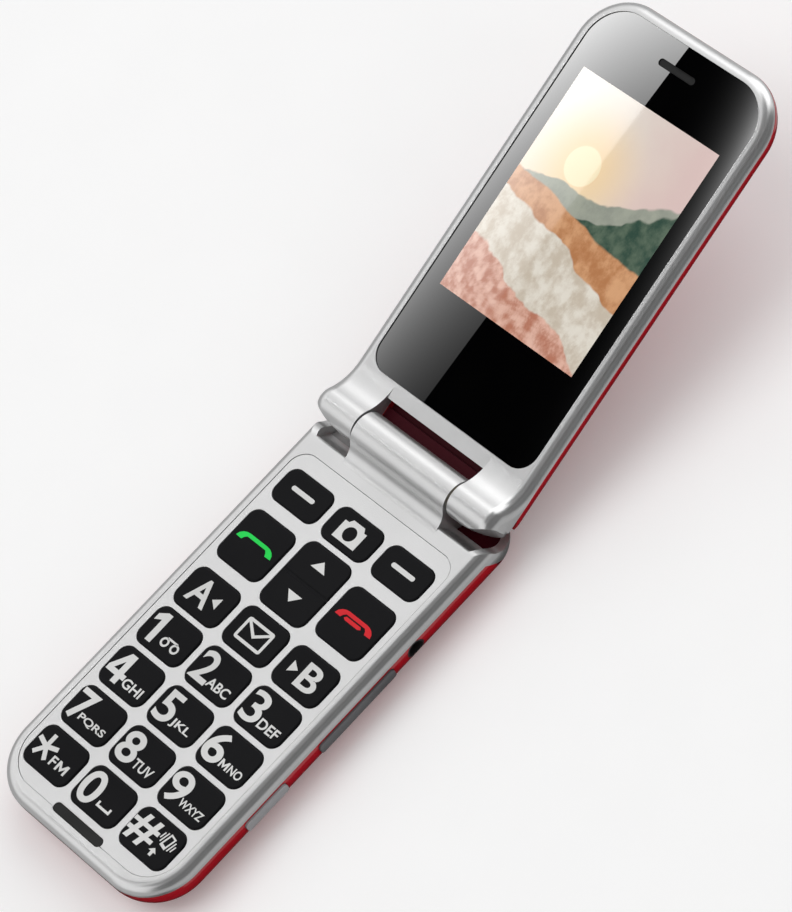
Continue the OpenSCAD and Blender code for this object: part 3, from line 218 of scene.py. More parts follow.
rocker_grey = make_finish("rocker_grey", (0.09, 0.09, 0.095), (0.12, 0.12, 0.125), (0.35, 0.45),
                          grain=0.2)
button_grey = make_finish("button_grey", (0.26, 0.26, 0.27), (0.32, 0.32, 0.33), (0.35, 0.45),
                          grain=0.2)
print("outside finishes", len(bpy.data.materials))

# %% [markdown]
# Down in the hinge's recesses no polish reaches: the moulding is rough there. A copy of the finish
# turns dull inside a box around each recess, and its colour there is painted darker, as painted
# shade; in one pocket the painted shade is grey. The box is drawn in the space where the recess is
# easy to describe, so the position goes through its matrix first.

# %% Helper: a finish that turns dull and painted darker inside a box
DULL_ROUGH = 0.6


def inside_box(tree, spot, space, low_corner, high_corner, soft):
    back = space.inverted()
    inside = None
    for row, low, high in zip(back.row[:3], low_corner, high_corner):
        along = tree.nodes.new("ShaderNodeVectorMath")
        along.operation = "DOT_PRODUCT"
        feed(tree, along.inputs[0], spot)
        feed(tree, along.inputs[1], row[:3])
        place = add_math(tree, "ADD", along.outputs["Value"], row[3])
        off_middle = add_math(tree, "ABSOLUTE", add_math(tree, "SUBTRACT", place, (low + high) / 2))
        half = (high - low) / 2
        edge = add_range(tree, off_middle, half, half - soft)
        inside = edge if inside is None else add_math(tree, "MULTIPLY", inside, edge)
    return inside


def make_recess(source, name, space, low_corner, high_corner, soft, shade_colour):
    finish = source.copy()
    finish.name = name
    tree = finish.node_tree
    shader = tree.nodes["Principled BSDF"]
    spot = next(node for node in tree.nodes if node.type == "TEX_COORD").outputs["Object"]
    inside = inside_box(tree, spot, space, low_corner, high_corner, soft)
    # Inside the box the base colour is painted shade: it turns to the given darker colour.
    for socket_name, kind, value in (("Base Color", "RGBA", shade_colour),
                                     ("Roughness", "FLOAT", DULL_ROUGH),
                                     ("Coat Weight", "FLOAT", 0.0)):
        socket = shader.inputs[socket_name]
        outside = socket.links[0].from_socket if socket.is_linked else socket.default_value
        feed(tree, socket, add_mix(tree, inside, outside, value, kind))
    return finish


# %% [markdown]
# The slot behind the barrel is painted dark red as shade from end to end. Both pockets beside the
# barrel are too, and the left one's painted shade is grey, so its finish is a copy of a copy.

# %% The slot behind the barrel and the two pockets beside it
SLOT_LOW = (-13.8, -2.0, -6.3)
SLOT_HIGH = (13.8, 8.3, 3.0)
# Painted shade: this dark red stands in for the shadow down in the slot and the pockets.
PAINTED_SHADE_RED = (0.045, 0.002, 0.006)
# Painted shade: a darker grey in the left pocket stands in for the silver scoop lying in shade
# there.
PAINTED_SHADE_GREY = (0.42, 0.42, 0.42)
POCKET_LOW = (-60.0, 41.5, 4.05)
POCKETS_HIGH = (60.0, 49.0, 12.0)
LEFT_POCKET_HIGH = (-10.0, 49.0, 12.0)
red_slot = make_recess(red_gloss, "red_slot", lid_space, SLOT_LOW, SLOT_HIGH, 0.4, PAINTED_SHADE_RED)
red_pocket = make_recess(red_gloss, "red_pocket", mm_space, POCKET_LOW, POCKETS_HIGH, 0.3, PAINTED_SHADE_RED)
two_pockets = make_recess(red_pocket, "two_pockets", mm_space, POCKET_LOW, LEFT_POCKET_HIGH, 0.3,
                          PAINTED_SHADE_GREY)
print("recess finishes", red_slot.name, two_pockets.name)

# %% [markdown]
# ## The finishes inside
# These show only when the battery cover is off or the phone is taken apart, but each part still
# looks like what it is: sheet steel is drawn in one direction, so its noise is stretched; gold
# contacts are bright; the boards have a green lacquer; the ribbon is amber film; the key mat is
# milky silicone.

# %% Inside finishes
sheet_steel = make_finish("sheet_steel", (0.48, 0.48, 0.48), (0.58, 0.58, 0.58), (0.28, 0.42),
                          metallic=1.0, grain=0.2, grain_scale=900, stretch=(1, 8, 1))
dark_metal = make_finish("dark_metal", (0.16, 0.16, 0.16), (0.24, 0.24, 0.24), (0.45, 0.60),
                         metallic=1.0, grain=0.5, grain_scale=1500)
contact_gold = make_finish("contact_gold", (0.72, 0.50, 0.17), (0.80, 0.58, 0.22), (0.18, 0.26),
                           metallic=1.0)
board_green = make_finish("board_green", (0.008, 0.10, 0.035), (0.012, 0.14, 0.05), (0.30, 0.40),
                          grain=0.4, grain_scale=700, coat=0.3)
ribbon_amber = make_finish("ribbon_amber", (0.50, 0.20, 0.02), (0.60, 0.27, 0.04), (0.28, 0.36),
                           coat=0.4)
mat_milky = make_finish("mat_milky", (0.66, 0.66, 0.64), (0.72, 0.72, 0.70), (0.50, 0.60),
                        grain=0.2)
part_black = make_finish("part_black", (0.02, 0.02, 0.021), (0.03, 0.03, 0.032), (0.45, 0.60),
                         grain=0.4)
mesh_black = make_finish("mesh_black", (0.010, 0.010, 0.010), (0.025, 0.025, 0.025), (0.55, 0.70),
                         grain=1.0, grain_scale=3500, specular=0.2)
battery_grey = make_finish("battery_grey", (0.06, 0.06, 0.065), (0.09, 0.09, 0.095), (0.45, 0.55),
                           grain=0.2)
panel_dark = make_finish("panel_dark", (0.09, 0.09, 0.11), (0.12, 0.12, 0.14), (0.30, 0.40))
print("all finishes", len(bpy.data.materials))

# %% [markdown]
# ## Give every node its finish
# A node keeps its shape and only changes its material, so a table from material slots to finishes
# is all that is needed. The record says which slot each node uses. The two red shells come last,
# because they take the copies with the dull recesses and their painted shade.

# %% Assign the finishes
finish_of_slot = {
    "silver_case": silver_paint, "silver_plate": silver_keypad, "red_case": red_gloss,
    "key_black": key_black, "window_glass": window_black, "rocker_grey": rocker_grey,
    "button_grey": button_grey, "black_mesh": mesh_black, "black_part": part_black,
    "battery_label": battery_grey, "clear_rubber": mat_milky, "dome_steel": sheet_steel,
    "circuit_board": board_green, "sheet_steel": sheet_steel, "screw_steel": sheet_steel,
    "dark_metal": dark_metal, "contact_gold": contact_gold, "flex_film": ribbon_amber,
    "display_panel": panel_dark,
}
for part in frame["record"]["subparts"]:
    for place in frame["nodes"][part["node"]].material_slots:
        place.material = finish_of_slot[part["material_slot"]]
for shell, finish in (("lid_rear_cover", red_slot), ("base_rear_housing", two_pockets)):
    frame["nodes"][shell].material_slots[0].material = finish

# %% [markdown]
# ## Print on the keys
# The letters are a thin print. They could be painted into the key's material, but a very thin
# plate on the key's top has sharp edges from near and far, and goes down with its key. Print
# comes in white, with a green and a red handset on the call and end keys, and a grey ring around
# the rear camera.

# %% Inks
ink_white = make_finish("ink_white", (0.66, 0.66, 0.65), (0.74, 0.74, 0.73), (0.40, 0.50),
                        specular=0.3)
ink_green = make_finish("ink_green", (0.005, 0.66, 0.07), (0.01, 0.74, 0.10), (0.40, 0.50),
                        specular=0.3)
ink_red = make_finish("ink_red", (0.62, 0.006, 0.012), (0.70, 0.010, 0.02), (0.40, 0.50),
                      specular=0.3)
ink_grey = make_finish("ink_grey", (0.24, 0.24, 0.24), (0.30, 0.30, 0.30), (0.40, 0.50),
                       specular=0.3)
print("inks", [ink.name for ink in (ink_white, ink_green, ink_red, ink_grey)])


# %% [markdown]
# A letter could be drawn point by point, but Blender has a font of its own. So it starts as text,
# is turned into a mesh, and is stretched to the box that it fills on the key. The text's offset
# makes its strokes bolder, and more steps per curve make its rounds smooth.


# %% Helpers: join a flat sheet, and letters in a box
def join_sheet(bm, sheet, place):
    bmesh.ops.transform(sheet, matrix=place, verts=sheet.verts)
    joined = make_mesh("joined", sheet)
    bm.from_mesh(joined)
    bpy.data.meshes.remove(joined)


def add_letters(bm, text, x0, x1, y0, y1, weight):
    curve = bpy.data.curves.new("letters", "FONT")
    curve.body = text
    curve.offset = weight
    curve.resolution_u = 12
    carrier = link_object("letters", curve)
    depsgraph = bpy.context.evaluated_depsgraph_get()
    flat = bpy.data.meshes.new_from_object(carrier.evaluated_get(depsgraph))
    bpy.data.objects.remove(carrier)
    bpy.data.curves.remove(curve)
    sheet = bmesh.new()
    sheet.from_mesh(flat)
    bpy.data.meshes.remove(flat)
    low, high = (
        Vector([pick(vert.co[axis] for vert in sheet.verts) for axis in range(2)] + [0])
        for pick in (min, max)
    )
    fit = Matrix.Diagonal(((x1 - x0) / (high.x - low.x), (y1 - y0) / (high.y - low.y), 1, 1))
    join_sheet(bm, sheet, Matrix.Translation((x0, y0, 0)) @ fit @ Matrix.Translation(-low))


# %% [markdown]
# Symbols are put together from bars, rings, triangles and plates. A bar is a flat grid turned to
# lie between two points, a ring is a short edge spun around its middle, and a plate fills any
# outline and leaves its holes open.


# %% Helpers: bar, ring, triangle and plate
def add_bar(bm, x0, y0, x1, y1, width):
    length = math.hypot(x1 - x0, y1 - y0)
    turn = Matrix.Rotation(math.atan2(y1 - y0, x1 - x0), 4, "Z")
    middle = Matrix.Translation(((x0 + x1) / 2, (y0 + y1) / 2, 0))
    bmesh.ops.create_grid(bm, x_segments=1, y_segments=1, size=0.5,
                          matrix=middle @ turn @ Matrix.Diagonal((length, width, 1, 1)))


def add_ring(bm, x, y, radius, width, steps=32):
    sheet = bmesh.new()
    ends = [
        bmesh.ops.create_vert(sheet, co=(radius + side * width / 2, 0, 0))["vert"][0]
        for side in (-1, 1)
    ]
    rung = sheet.edges.new(ends)
    bmesh.ops.spin(sheet, geom=ends + [rung], axis=(0, 0, 1), cent=(0, 0, 0), steps=steps,
                   angle=2 * math.pi, use_merge=True)
    join_sheet(bm, sheet, Matrix.Translation((x, y, 0)))


def add_triangle(bm, x, y, width, height, turn_deg=0.0):
    turn = Matrix.Rotation(math.radians(turn_deg), 4, "Z")
    point_up = Matrix.Diagonal((width / math.sqrt(3), height / 1.5, 1, 1))
    centre = Matrix.Translation((0, -height / 6, 0))
    bmesh.ops.create_circle(bm, cap_ends=True, segments=3, radius=1,
                            matrix=Matrix.Translation((x, y, 0)) @ turn @ centre @ point_up)


def add_plate(bm, outline, holes=()):
    sheet = bmesh.new()
    for loop in (outline, *holes):
        corners = [sheet.verts.new((x, y, 0)) for x, y in loop]
        for start, end in zip(corners, corners[1:] + corners[:1]):
            sheet.edges.new((start, end))
    bmesh.ops.triangle_fill(sheet, use_beauty=True, edges=sheet.edges)
    join_sheet(bm, sheet, Matrix.Identity(4))


# %% [markdown]
# Outlines are lists of points. Two more helpers keep those short: one turns points about a
# centre, the other walks along an arc, for rounded ends and corners.


# %% Helpers: points turned about a centre, and points on an arc
def turned(points, turn_deg, x, y):
    cos, sin = math.cos(math.radians(turn_deg)), math.sin(math.radians(turn_deg))
    return [(x + px * cos - py * sin, y + px * sin + py * cos) for px, py in points]


def arc_points(x, y, radius, start_deg, turn_deg, steps):
    angles = [start_deg + turn_deg * i / steps for i in range(steps + 1)]
    return [turned([(radius, 0)], angle, x, y)[0] for angle in angles]


# %% [markdown]
# The keys stand in three columns and seven rows. A print is drawn around the middle of its key,
# given its thickness, and carried by the key, so that it goes down when the key is pressed.

# %% Where the keys are, and a helper that prints on one
COLUMN = 14.36
ROWS = {"bottom": -38.7, "seven": -28.47, "four": -18.24, "one": -8.01, "memory": 2.22,
        "call": 15.7, "soft": 28.57}
PRINT_T = 0.015
KEY_GAP = 0.004
printed = []


def raise_print(bm):
    raised = bmesh.ops.extrude_face_region(bm, geom=list(bm.faces))["geom"]
    top = [item for item in raised if isinstance(item, bmesh.types.BMVert)]
    bmesh.ops.translate(bm, vec=(0, 0, PRINT_T), verts=top)


def print_on(key, column, row, draw, ink=ink_white):
    bm = bmesh.new()
    draw(bm)
    raise_print(bm)
    place = Matrix.Translation((column * COLUMN, ROWS[row], KEY_TOP + KEY_GAP))
    make_piece("print_" + key, bm, mm_space @ place, key, ink)
    printed.append(key)


# %% [markdown]
# The number keys have a large digit on the left and small letters at the lower right. The boxes
# below were measured on a phone of this kind; letters are stretched a little to fill them. A
# text's offset makes its outline cross itself at the corners of an M and of a 4, so these two and
# the 1 are drawn.

# %% Drawn characters
DIGIT_WEIGHT = 0.020
THINNER_DIGITS = {"3": 0.015, "9": 0.016}
LETTER_WEIGHT = 0.020
M_OUTLINE = [(0, 0), (0.2, 0), (0.2, 0.6), (0.5, 0.08), (0.8, 0.6), (0.8, 0), (1, 0), (1, 1),
             (0.8, 1), (0.5, 0.48), (0.2, 1), (0, 1)]
ONE_OUTLINE = [(-3.75, -3.3), (-2.3, -3.3), (-2.3, 3.35), (-3.5, 3.35), (-5.3, 2.2), (-5.3, 0.75),
               (-3.75, 1.55)]
FOUR_OUTLINE = [(-2.95, -3.3), (-1.5, -3.3), (-1.5, -1.9), (-0.6, -1.9), (-0.6, -0.75),
                (-1.5, -0.75), (-1.5, 3.35), (-3.1, 3.35), (-5.7, -0.8), (-5.7, -1.9),
                (-2.95, -1.9)]
FOUR_HOLE = [(-2.95, -0.75), (-2.95, 1.45), (-4.3, -0.75)]
SPACE_OUTLINE = [(0, -2.2), (3.7, -2.2), (3.7, -1.0), (3.2, -1.0), (3.2, -1.7), (0.5, -1.7),
                 (0.5, -1.0), (0, -1.0)]


def add_m(bm, x0, x1, y0, y1):
    add_plate(bm, [(x0 + (x1 - x0) * px, y0 + (y1 - y0) * py) for px, py in M_OUTLINE])


def draw_one(bm):
    add_plate(bm, ONE_OUTLINE)
    for reel in (0.25, 3.05):
        add_ring(bm, reel, -1.4, 0.80, 0.45)
    add_bar(bm, 0.25, -0.38, 3.05, -0.38, 0.42)


def draw_four(bm):
    add_plate(bm, FOUR_OUTLINE, [FOUR_HOLE])


print("drawn outlines have", len(M_OUTLINE), len(ONE_OUTLINE), len(FOUR_OUTLINE), "corners")

# %% [markdown]
# One table holds all ten number keys: the digit, its column and row, the digit's box, and the
# letters with their box. A row without a box is one whose character is drawn.

# %% Digits and their letters
number_keys = [
    ("1", -1, "one", None, None, None),
    ("2", 0, "one", (-5.5, -0.95, -3.3, 3.35), "ABC", (-0.85, 4.95, -2.8, -0.7)),
    ("3", 1, "one", (-5.5, -0.9, -3.3, 3.35), "DEF", (-0.45, 4.9, -2.8, -0.7)),
    ("4", -1, "four", None, "GHI", (-0.4, 4.8, -2.8, -0.7)),
    ("5", 0, "four", (-5.5, -0.95, -3.3, 3.35), "JKL", (-0.7, 4.5, -2.8, -0.7)),
    ("6", 1, "four", (-6.0, -0.9, -3.3, 3.35), "NO", (1.85, 5.2, -2.6, -0.8)),
    ("7", -1, "seven", (-5.7, -0.9, -3.3, 3.35), "PQRS", (-2.4, 4.9, -2.7, -0.9)),
    ("8", 0, "seven", (-5.7, -0.7, -3.3, 3.35), "TUV", (-0.3, 4.7, -2.8, -0.7)),
    ("9", 1, "seven", (-6.0, -0.8, -3.3, 3.35), "WXYZ", (-1.2, 5.1, -2.6, -0.9)),
    ("0", 0, "bottom", (-5.8, -0.8, -3.5, 3.45), None, None),
]

for digit, column, row, digit_box, letters, letter_box in number_keys:

    def draw_number(bm):
        if digit_box:
            add_letters(bm, digit, *digit_box, THINNER_DIGITS.get(digit, DIGIT_WEIGHT))
        if digit == "1":
            draw_one(bm)
        if digit == "4":
            draw_four(bm)
        if letters:
            add_letters(bm, letters, *letter_box, LETTER_WEIGHT)
        if digit == "6":
            add_m(bm, -0.6, 1.5, -2.6, -0.8)
        if digit == "0":
            add_plate(bm, SPACE_OUTLINE)

    print_on("key_" + digit, column, row, draw_number)
print("printed on", len(printed), "keys")

# %% [markdown]
# The star key carries a five-armed star and the radio's letters. The hash key has a hash, an
# arrow that stands for capital letters and a small shaking phone for the silent mode.

# %% Star and hash
STAR_ARM = [(0.48, 0.68), (0.48, 2.85), (-0.48, 2.85)]
SHAKE_PLACE = (-14, 3.2, 1.3)
CAPITALS_ARROW = [(1.65, -2.8), (2.35, -2.8), (2.35, -1.9), (3.0, -1.9), (2.0, -1.0), (1.0, -1.9),
                  (1.65, -1.9)]


def draw_star(bm):
    add_plate(bm, [point for i in range(5) for point in turned(STAR_ARM, 72 * i, -2.95, 0.1)])
    add_letters(bm, "F", -0.1, 1.3, -2.2, -0.1, LETTER_WEIGHT)
    add_m(bm, 1.75, 4.5, -2.2, -0.1)


def draw_hash(bm):
    add_letters(bm, "#", -6.1, 0.7, -2.9, 3.2, DIGIT_WEIGHT)
    case = [(-0.85, -1.5), (0.85, -1.5), (0.85, 1.5), (-0.85, 1.5)]
    screen = [(-0.5, -0.9), (0.5, -0.9), (0.5, 1.15), (-0.5, 1.15)]
    add_plate(bm, turned(case, *SHAKE_PLACE), [turned(screen, *SHAKE_PLACE)])
    for x, half in ((-1.95, 0.7), (-1.35, 1.15), (1.35, 1.15), (1.95, 0.7)):
        wave = [(x - 0.14, -half), (x + 0.14, -half), (x + 0.14, half), (x - 0.14, half)]
        add_plate(bm, turned(wave, *SHAKE_PLACE))
    add_plate(bm, CAPITALS_ARROW)


print_on("key_star", -1, "bottom", draw_star)
print_on("key_hash", 1, "bottom", draw_hash)
print("printed on", len(printed), "keys")

# %% [markdown]
# The keys above have pictures: bars on the soft keys, a camera, handsets that are lifted and laid
# down, two arrows, an envelope for messages and the letters A and B for numbers kept in memory.

# %% Keys with pictures
CAMERA_BODY = [(-3.3, -2.5), (2.8, -2.5), (2.8, 1.45), (2.0, 1.45), (1.4, 2.3), (-1.7, 2.3),
               (-2.3, 1.45), (-3.3, 1.45)]
HALF_HANDSET = [(2.6, 0.3), (3.1, -0.15), (3.4, -0.75), (4.95, -0.7), (4.65, 0.1), (4.05, 0.65),
                (3.3, 0.98), (2.5, 1.1)]
CRADLE = [(-2.1, -0.78), (1.4, -0.78), (2.0, -0.45), (1.6, 0.0), (-2.3, 0.0), (-2.7, -0.45)]
ENVELOPE_CORNERS = ((-3.3, -2.0, 180), (2.85, -2.0, 270), (2.85, 1.85, 0), (-3.3, 1.85, 90))
ENVELOPE_FLAP = [(-2.75, 1.8), (2.3, 1.8), (-0.2, -0.05)]
ENVELOPE_FRONT = [(-3.25, -1.95), (2.8, -1.95), (2.8, 1.45), (-0.2, -0.85), (-3.25, 1.45)]


def draw_soft(bm):
    right_end = arc_points(2.65, 0.2, 0.5, -90, 180, 6)
    add_plate(bm, right_end + [(-x, 0.4 - y) for x, y in right_end])


def draw_camera(bm):
    add_plate(bm, CAMERA_BODY, [arc_points(-0.3, -0.35, 1.55, 0, 345, 23)])


def draw_handset(bm):
    both_halves = HALF_HANDSET + [(-x, y) for x, y in HALF_HANDSET[::-1]]
    add_plate(bm, [(x - 0.1, y) for x, y in both_halves])


def draw_handset_down(bm):
    draw_handset(bm)
    add_plate(bm, CRADLE)


def draw_arrows(bm):
    add_triangle(bm, 0, 4.4, 3.9, 2.05)
    add_triangle(bm, 0, -3.6, 3.9, 2.05, 180)


def draw_envelope(bm):
    edge = []
    for x, y, start in ENVELOPE_CORNERS:
        edge += arc_points(x, y, 0.6, start, 90, 3)
    add_plate(bm, edge, [ENVELOPE_FLAP, ENVELOPE_FRONT])


def draw_memory_a(bm):
    add_letters(bm, "A", -4.1, 1.4, -2.7, 2.95, DIGIT_WEIGHT)
    add_triangle(bm, 2.4, 0.2, 2.6, 1.85, 90)


def draw_memory_b(bm):
    add_letters(bm, "B", -1.1, 3.8, -2.7, 2.8, DIGIT_WEIGHT)
    add_triangle(bm, -3.0, -0.1, 2.6, 2.0, -90)


for key, column, row, draw, ink in (
    ("key_soft_left", -1, "soft", draw_soft, ink_white),
    ("key_soft_right", 1, "soft", draw_soft, ink_white),
    ("key_camera", 0, "soft", draw_camera, ink_white),
    ("key_call", -1, "call", draw_handset, ink_green),
    ("key_end", 1, "call", draw_handset_down, ink_red),
    ("key_nav", 0, "call", draw_arrows, ink_white),
    ("key_message", 0, "memory", draw_envelope, ink_white),
    ("key_memory_a", -1, "memory", draw_memory_a, ink_white),
    ("key_memory_b", 1, "memory", draw_memory_b, ink_white),
):
    print_on(key, column, row, draw, ink)
print("printed on", len(printed), "keys")

# %% [markdown]
# ## The rear camera
# The camera looks out through a round window in the lid's back. Its black print leaves a small
# opening, framed by a thin grey ring, and in it the front lens bulges with the blue shine of its
# coating. The ring is a print like those on the keys, and the lens is a short profile spun around
# its axis.

# %% Ring and lens
CAMERA_Y = 79.0
RING_RADIUS = 3.1
RING_WIDTH = 0.28
LENS_PROFILE = [(0, 0), (1.7, 0), (1.66, 0.05), (1.35, 0.11), (0.9, 0.16), (0.45, 0.19), (0, 0.2)]
GLASS_GAP = 0.002
camera_space = (
    lid_space
    @ Matrix.Translation((0, CAMERA_Y, LID_BACK))
    @ Matrix.Rotation(math.pi, 4, "Y")
    @ Matrix.Translation((0, 0, GLASS_GAP))
)
lens_blue = make_finish("lens_blue", (0.002, 0.002, 0.012), (0.006, 0.004, 0.035), (0.02, 0.04),
                        coat=1.0, drift_scale=500.0, ior=1.6)
bm = bmesh.new()
add_ring(bm, 0, 0, RING_RADIUS, RING_WIDTH, steps=64)
raise_print(bm)
make_piece("camera_ring", bm, camera_space, "lid", ink_grey)
bm = bmesh.new()
rim = [bm.verts.new((x, 0, z)) for x, z in LENS_PROFILE]
rungs = [bm.edges.new(pair) for pair in zip(rim, rim[1:])]
bmesh.ops.spin(bm, geom=rim + rungs, axis=(0, 0, 1), cent=(0, 0, 0), steps=48, angle=2 * math.pi,
               use_merge=True)
bmesh.ops.remove_doubles(bm, verts=bm.verts, dist=0.001)
make_piece("camera_lens", bm, camera_space, "lid", lens_blue, smooth=True)
print("lens", LENS_PROFILE[1][0] * 2, "mm across")

# %% [markdown]
# ## The picture on the screen
# The display shines by itself, so the picture is seen even where the window is dark. It is a
# quiet landscape: a warm sky with a low sun, and below it five ridges, one in front of the other.
# Drawn with noise it needs no image file and stays sharp. First comes the sky: two soft changes
# of colour, and two discs of light around one point.

# %% Sky with a low sun
SUN = (0.34, 0.68)
PICTURE_TALL = 1.34


def sun_disc(tree, across, up, near, far):
    side = add_math(tree, "POWER", add_math(tree, "SUBTRACT", across, SUN[0]), 2)
    rise = add_math(tree, "POWER", add_math(tree, "SUBTRACT", up, SUN[1]), 2)
    rise = add_math(tree, "MULTIPLY", rise, PICTURE_TALL ** 2)
    away = add_math(tree, "SQRT", add_math(tree, "ADD", side, rise))
    return add_range(tree, away, far, near, smooth=True)


def paint_sky(tree, spot, across, up):
    haze = add_noise(tree, spot, 3.0, 4)
    to_right = add_math(tree, "ADD", across, add_math(tree, "MULTIPLY", haze, 0.5))
    sky = (0.86, 0.72, 0.58)
    for amount, colour in (
        (add_range(tree, up, 0.50, 1.0, smooth=True), (0.80, 0.74, 0.66)),
        (add_range(tree, to_right, 0.55, 1.25, smooth=True), (0.74, 0.56, 0.53)),
        (sun_disc(tree, across, up, 0.05, 0.42), (0.93, 0.70, 0.42)),
        (sun_disc(tree, across, up, 0.105, 0.115), (1.0, 0.86, 0.58)),
    ):
        sky = add_mix(tree, amount, sky, colour)
    return sky


# %% [markdown]
# Each ridge is a line that rolls with one slow noise, leans to one side, and covers all that lies
# below it. A second noise, finer on the near hills, folds its slope from a dark to a light colour.

# %% Hills
RIDGES = (
    (0.62, 0.26, 0.16, (0.30, 0.32, 0.27), (0.38, 0.40, 0.33)),
    (0.51, 0.30, 0.34, (0.035, 0.075, 0.055), (0.12, 0.17, 0.12)),
    (0.50, 0.16, -0.10, (0.48, 0.21, 0.09), (0.70, 0.38, 0.20)),
    (0.38, 0.22, -0.16, (0.60, 0.52, 0.42), (0.80, 0.75, 0.66)),
    (0.14, 0.30, -0.25, (0.50, 0.20, 0.13), (0.80, 0.50, 0.40)),
)
RIDGE_EDGE = 0.006


def paint_hills(tree, spot, across, up, colour):
    wave = add_noise(tree, spot, 2.1, 4)
    grain = add_math(tree, "MULTIPLY", add_noise(tree, spot, 26.0, 5, 0.65), 0.3)
    for height, roll, lean, dark, light in RIDGES:
        ridge = add_math(tree, "ADD", add_math(tree, "MULTIPLY", wave, roll), height - roll / 2)
        slope = add_math(tree, "MULTIPLY", add_math(tree, "SUBTRACT", across, 0.5), lean)
        ridge = add_math(tree, "ADD", ridge, slope)
        fold = add_noise(tree, spot, 4.0 + 10 * (1 - height), 5, 0.55)
        shade = add_math(tree, "ADD", add_math(tree, "MULTIPLY", fold, 0.7), grain)
        hill = add_mix(tree, add_range(tree, shade, 0.38, 0.62, smooth=True), dark, light)
        depth = add_math(tree, "SUBTRACT", ridge, up)
        covered = add_range(tree, depth, -RIDGE_EDGE, RIDGE_EDGE, smooth=True)
        colour = add_mix(tree, covered, colour, hill)
    return colour


# %% [markdown]
# The picture needs flat coordinates along the lid, so its plate gets a UV map of its own, from 0
# to 1 across and from 0 to 1 up. The plate is as thin as a print and lies on the window.

# %% The lit picture
PICTURE_X = (-18.36, 18.36)
PICTURE_Y = (30.66, 79.62)


def make_picture():
    picture = bpy.data.materials.new("screen_picture")
    picture.use_nodes = True
    tree = picture.node_tree
    shader = tree.nodes["Principled BSDF"]
    for socket_name, value in (("Roughness", 0.03), ("IOR", 1.6), ("Coat Weight", 1.0),
                               ("Coat Roughness", 0.01), ("Emission Strength", 0.15)):
        shader.inputs[socket_name].default_value = value
    flat = tree.nodes.new("ShaderNodeUVMap")
    flat.uv_map = "picture"
    spot = flat.outputs["UV"]
    axes = tree.nodes.new("ShaderNodeSeparateXYZ")
    feed(tree, axes.inputs["Vector"], spot)
    across, up = axes.outputs["X"], axes.outputs["Y"]
    colour = paint_hills(tree, spot, across, up, paint_sky(tree, spot, across, up))
    for socket_name in ("Base Color", "Emission Color"):
        feed(tree, shader.inputs[socket_name], colour)
    return picture


x0, x1 = PICTURE_X
y0, y1 = PICTURE_Y
bm = bmesh.new()
add_bar(bm, x0, (y0 + y1) / 2, x1, (y0 + y1) / 2, y1 - y0)
uv = bm.loops.layers.uv.new("picture")
raise_print(bm)
for face in bm.faces:
    for loop in face.loops:
        x, y, z = loop.vert.co
        loop[uv].uv = ((x - x0) / (x1 - x0), (y - y0) / (y1 - y0))
glass_space = lid_space @ Matrix.Translation((0, 0, GLASS_TOP + GLASS_GAP))
make_piece("screen_picture", bm, glass_space, "lid", make_picture())
print("picture", round(x1 - x0, 2), "by", round(y1 - y0, 2), "mm")

# %% [markdown]
# ## The studio
# A pale floor keeps the phone's shadow. Far from the lamps it would turn grey, so there it glows
# a little, for the camera only. It lies a fifth of a millimetre low, so that the phone's flat
# underside does not flicker against it.

# %% Floor
FLOOR_Z = -0.2 * MM
FLOOR_HALF = 3.0
FLOOR_GLOW = 0.07
FAR_GLOW = 0.6
NEAR_EDGE = 0.25
FAR_EDGE = 1.6

bm = bmesh.new()
bmesh.ops.create_grid(bm, x_segments=1, y_segments=1, size=FLOOR_HALF,
                      matrix=Matrix.Translation((0, 0, FLOOR_Z)))
floor_white = make_finish("floor_white", (0.96, 0.96, 0.96), (0.97, 0.97, 0.97), (0.9, 0.95),
                          specular=0.0)
tree = floor_white.node_tree
floor_shader = tree.nodes["Principled BSDF"]
floor_shader.inputs["Emission Color"].default_value = (1, 1, 1, 1)
away = tree.nodes.new("ShaderNodeVectorMath")
away.operation = "LENGTH"
floor_spot = next(node for node in tree.nodes if node.type == "TEX_COORD").outputs["Object"]
feed(tree, away.inputs[0], floor_spot)
far_glow = add_range(tree, away.outputs["Value"], NEAR_EDGE, FAR_EDGE, 0.0, FAR_GLOW, smooth=True)
for_camera = tree.nodes.new("ShaderNodeLightPath").outputs["Is Camera Ray"]
glow = add_math(tree, "MULTIPLY_ADD", far_glow, for_camera, FLOOR_GLOW)
feed(tree, floor_shader.inputs["Emission Strength"], glow)
floor_mesh = make_mesh("floor", bm)
floor_mesh.materials.append(floor_white)
floor = link_object("floor", floor_mesh)
floor.visible_glossy = False
print("floor", 2 * FLOOR_HALF, "m wide")

# %% [markdown]
# The background is white for the camera, for reflections and through clear things, and half as
# bright for the rest. Three soft lamps bring the other half, so that a colour renders about as it
# was written: a broad one beyond the lid's end, one above the keys and a weak one from the right.

# %% World and lamps
AMBIENT = 0.5

scene = bpy.context.scene
scene.view_settings.view_transform = "Standard"
world = bpy.data.worlds.new("studio")
scene.world = world
world.use_nodes = True
tree = world.node_tree
rays = tree.nodes.new("ShaderNodeLightPath").outputs
seen = add_math(tree, "MAXIMUM", rays["Is Camera Ray"], rays["Is Glossy Ray"])
seen = add_math(tree, "MAXIMUM", seen, rays["Is Transmission Ray"])
backdrop = tree.nodes["Background"]
backdrop.inputs["Color"].default_value = (1, 1, 1, 1)
feed(tree, backdrop.inputs["Strength"], add_range(tree, seen, 0.0, 1.0, AMBIENT, 1.0))


def add_lamp(name, spot, target, size, power):
    light = bpy.data.lights.new(name, "AREA")
    light.shape = "DISK"
    light.size = size
    light.energy = power
    lamp = link_object(name, light)
    lamp.location = spot
    lamp.rotation_euler = (Vector(target) - Vector(spot)).to_track_quat("-Z", "Y").to_euler()
    return lamp


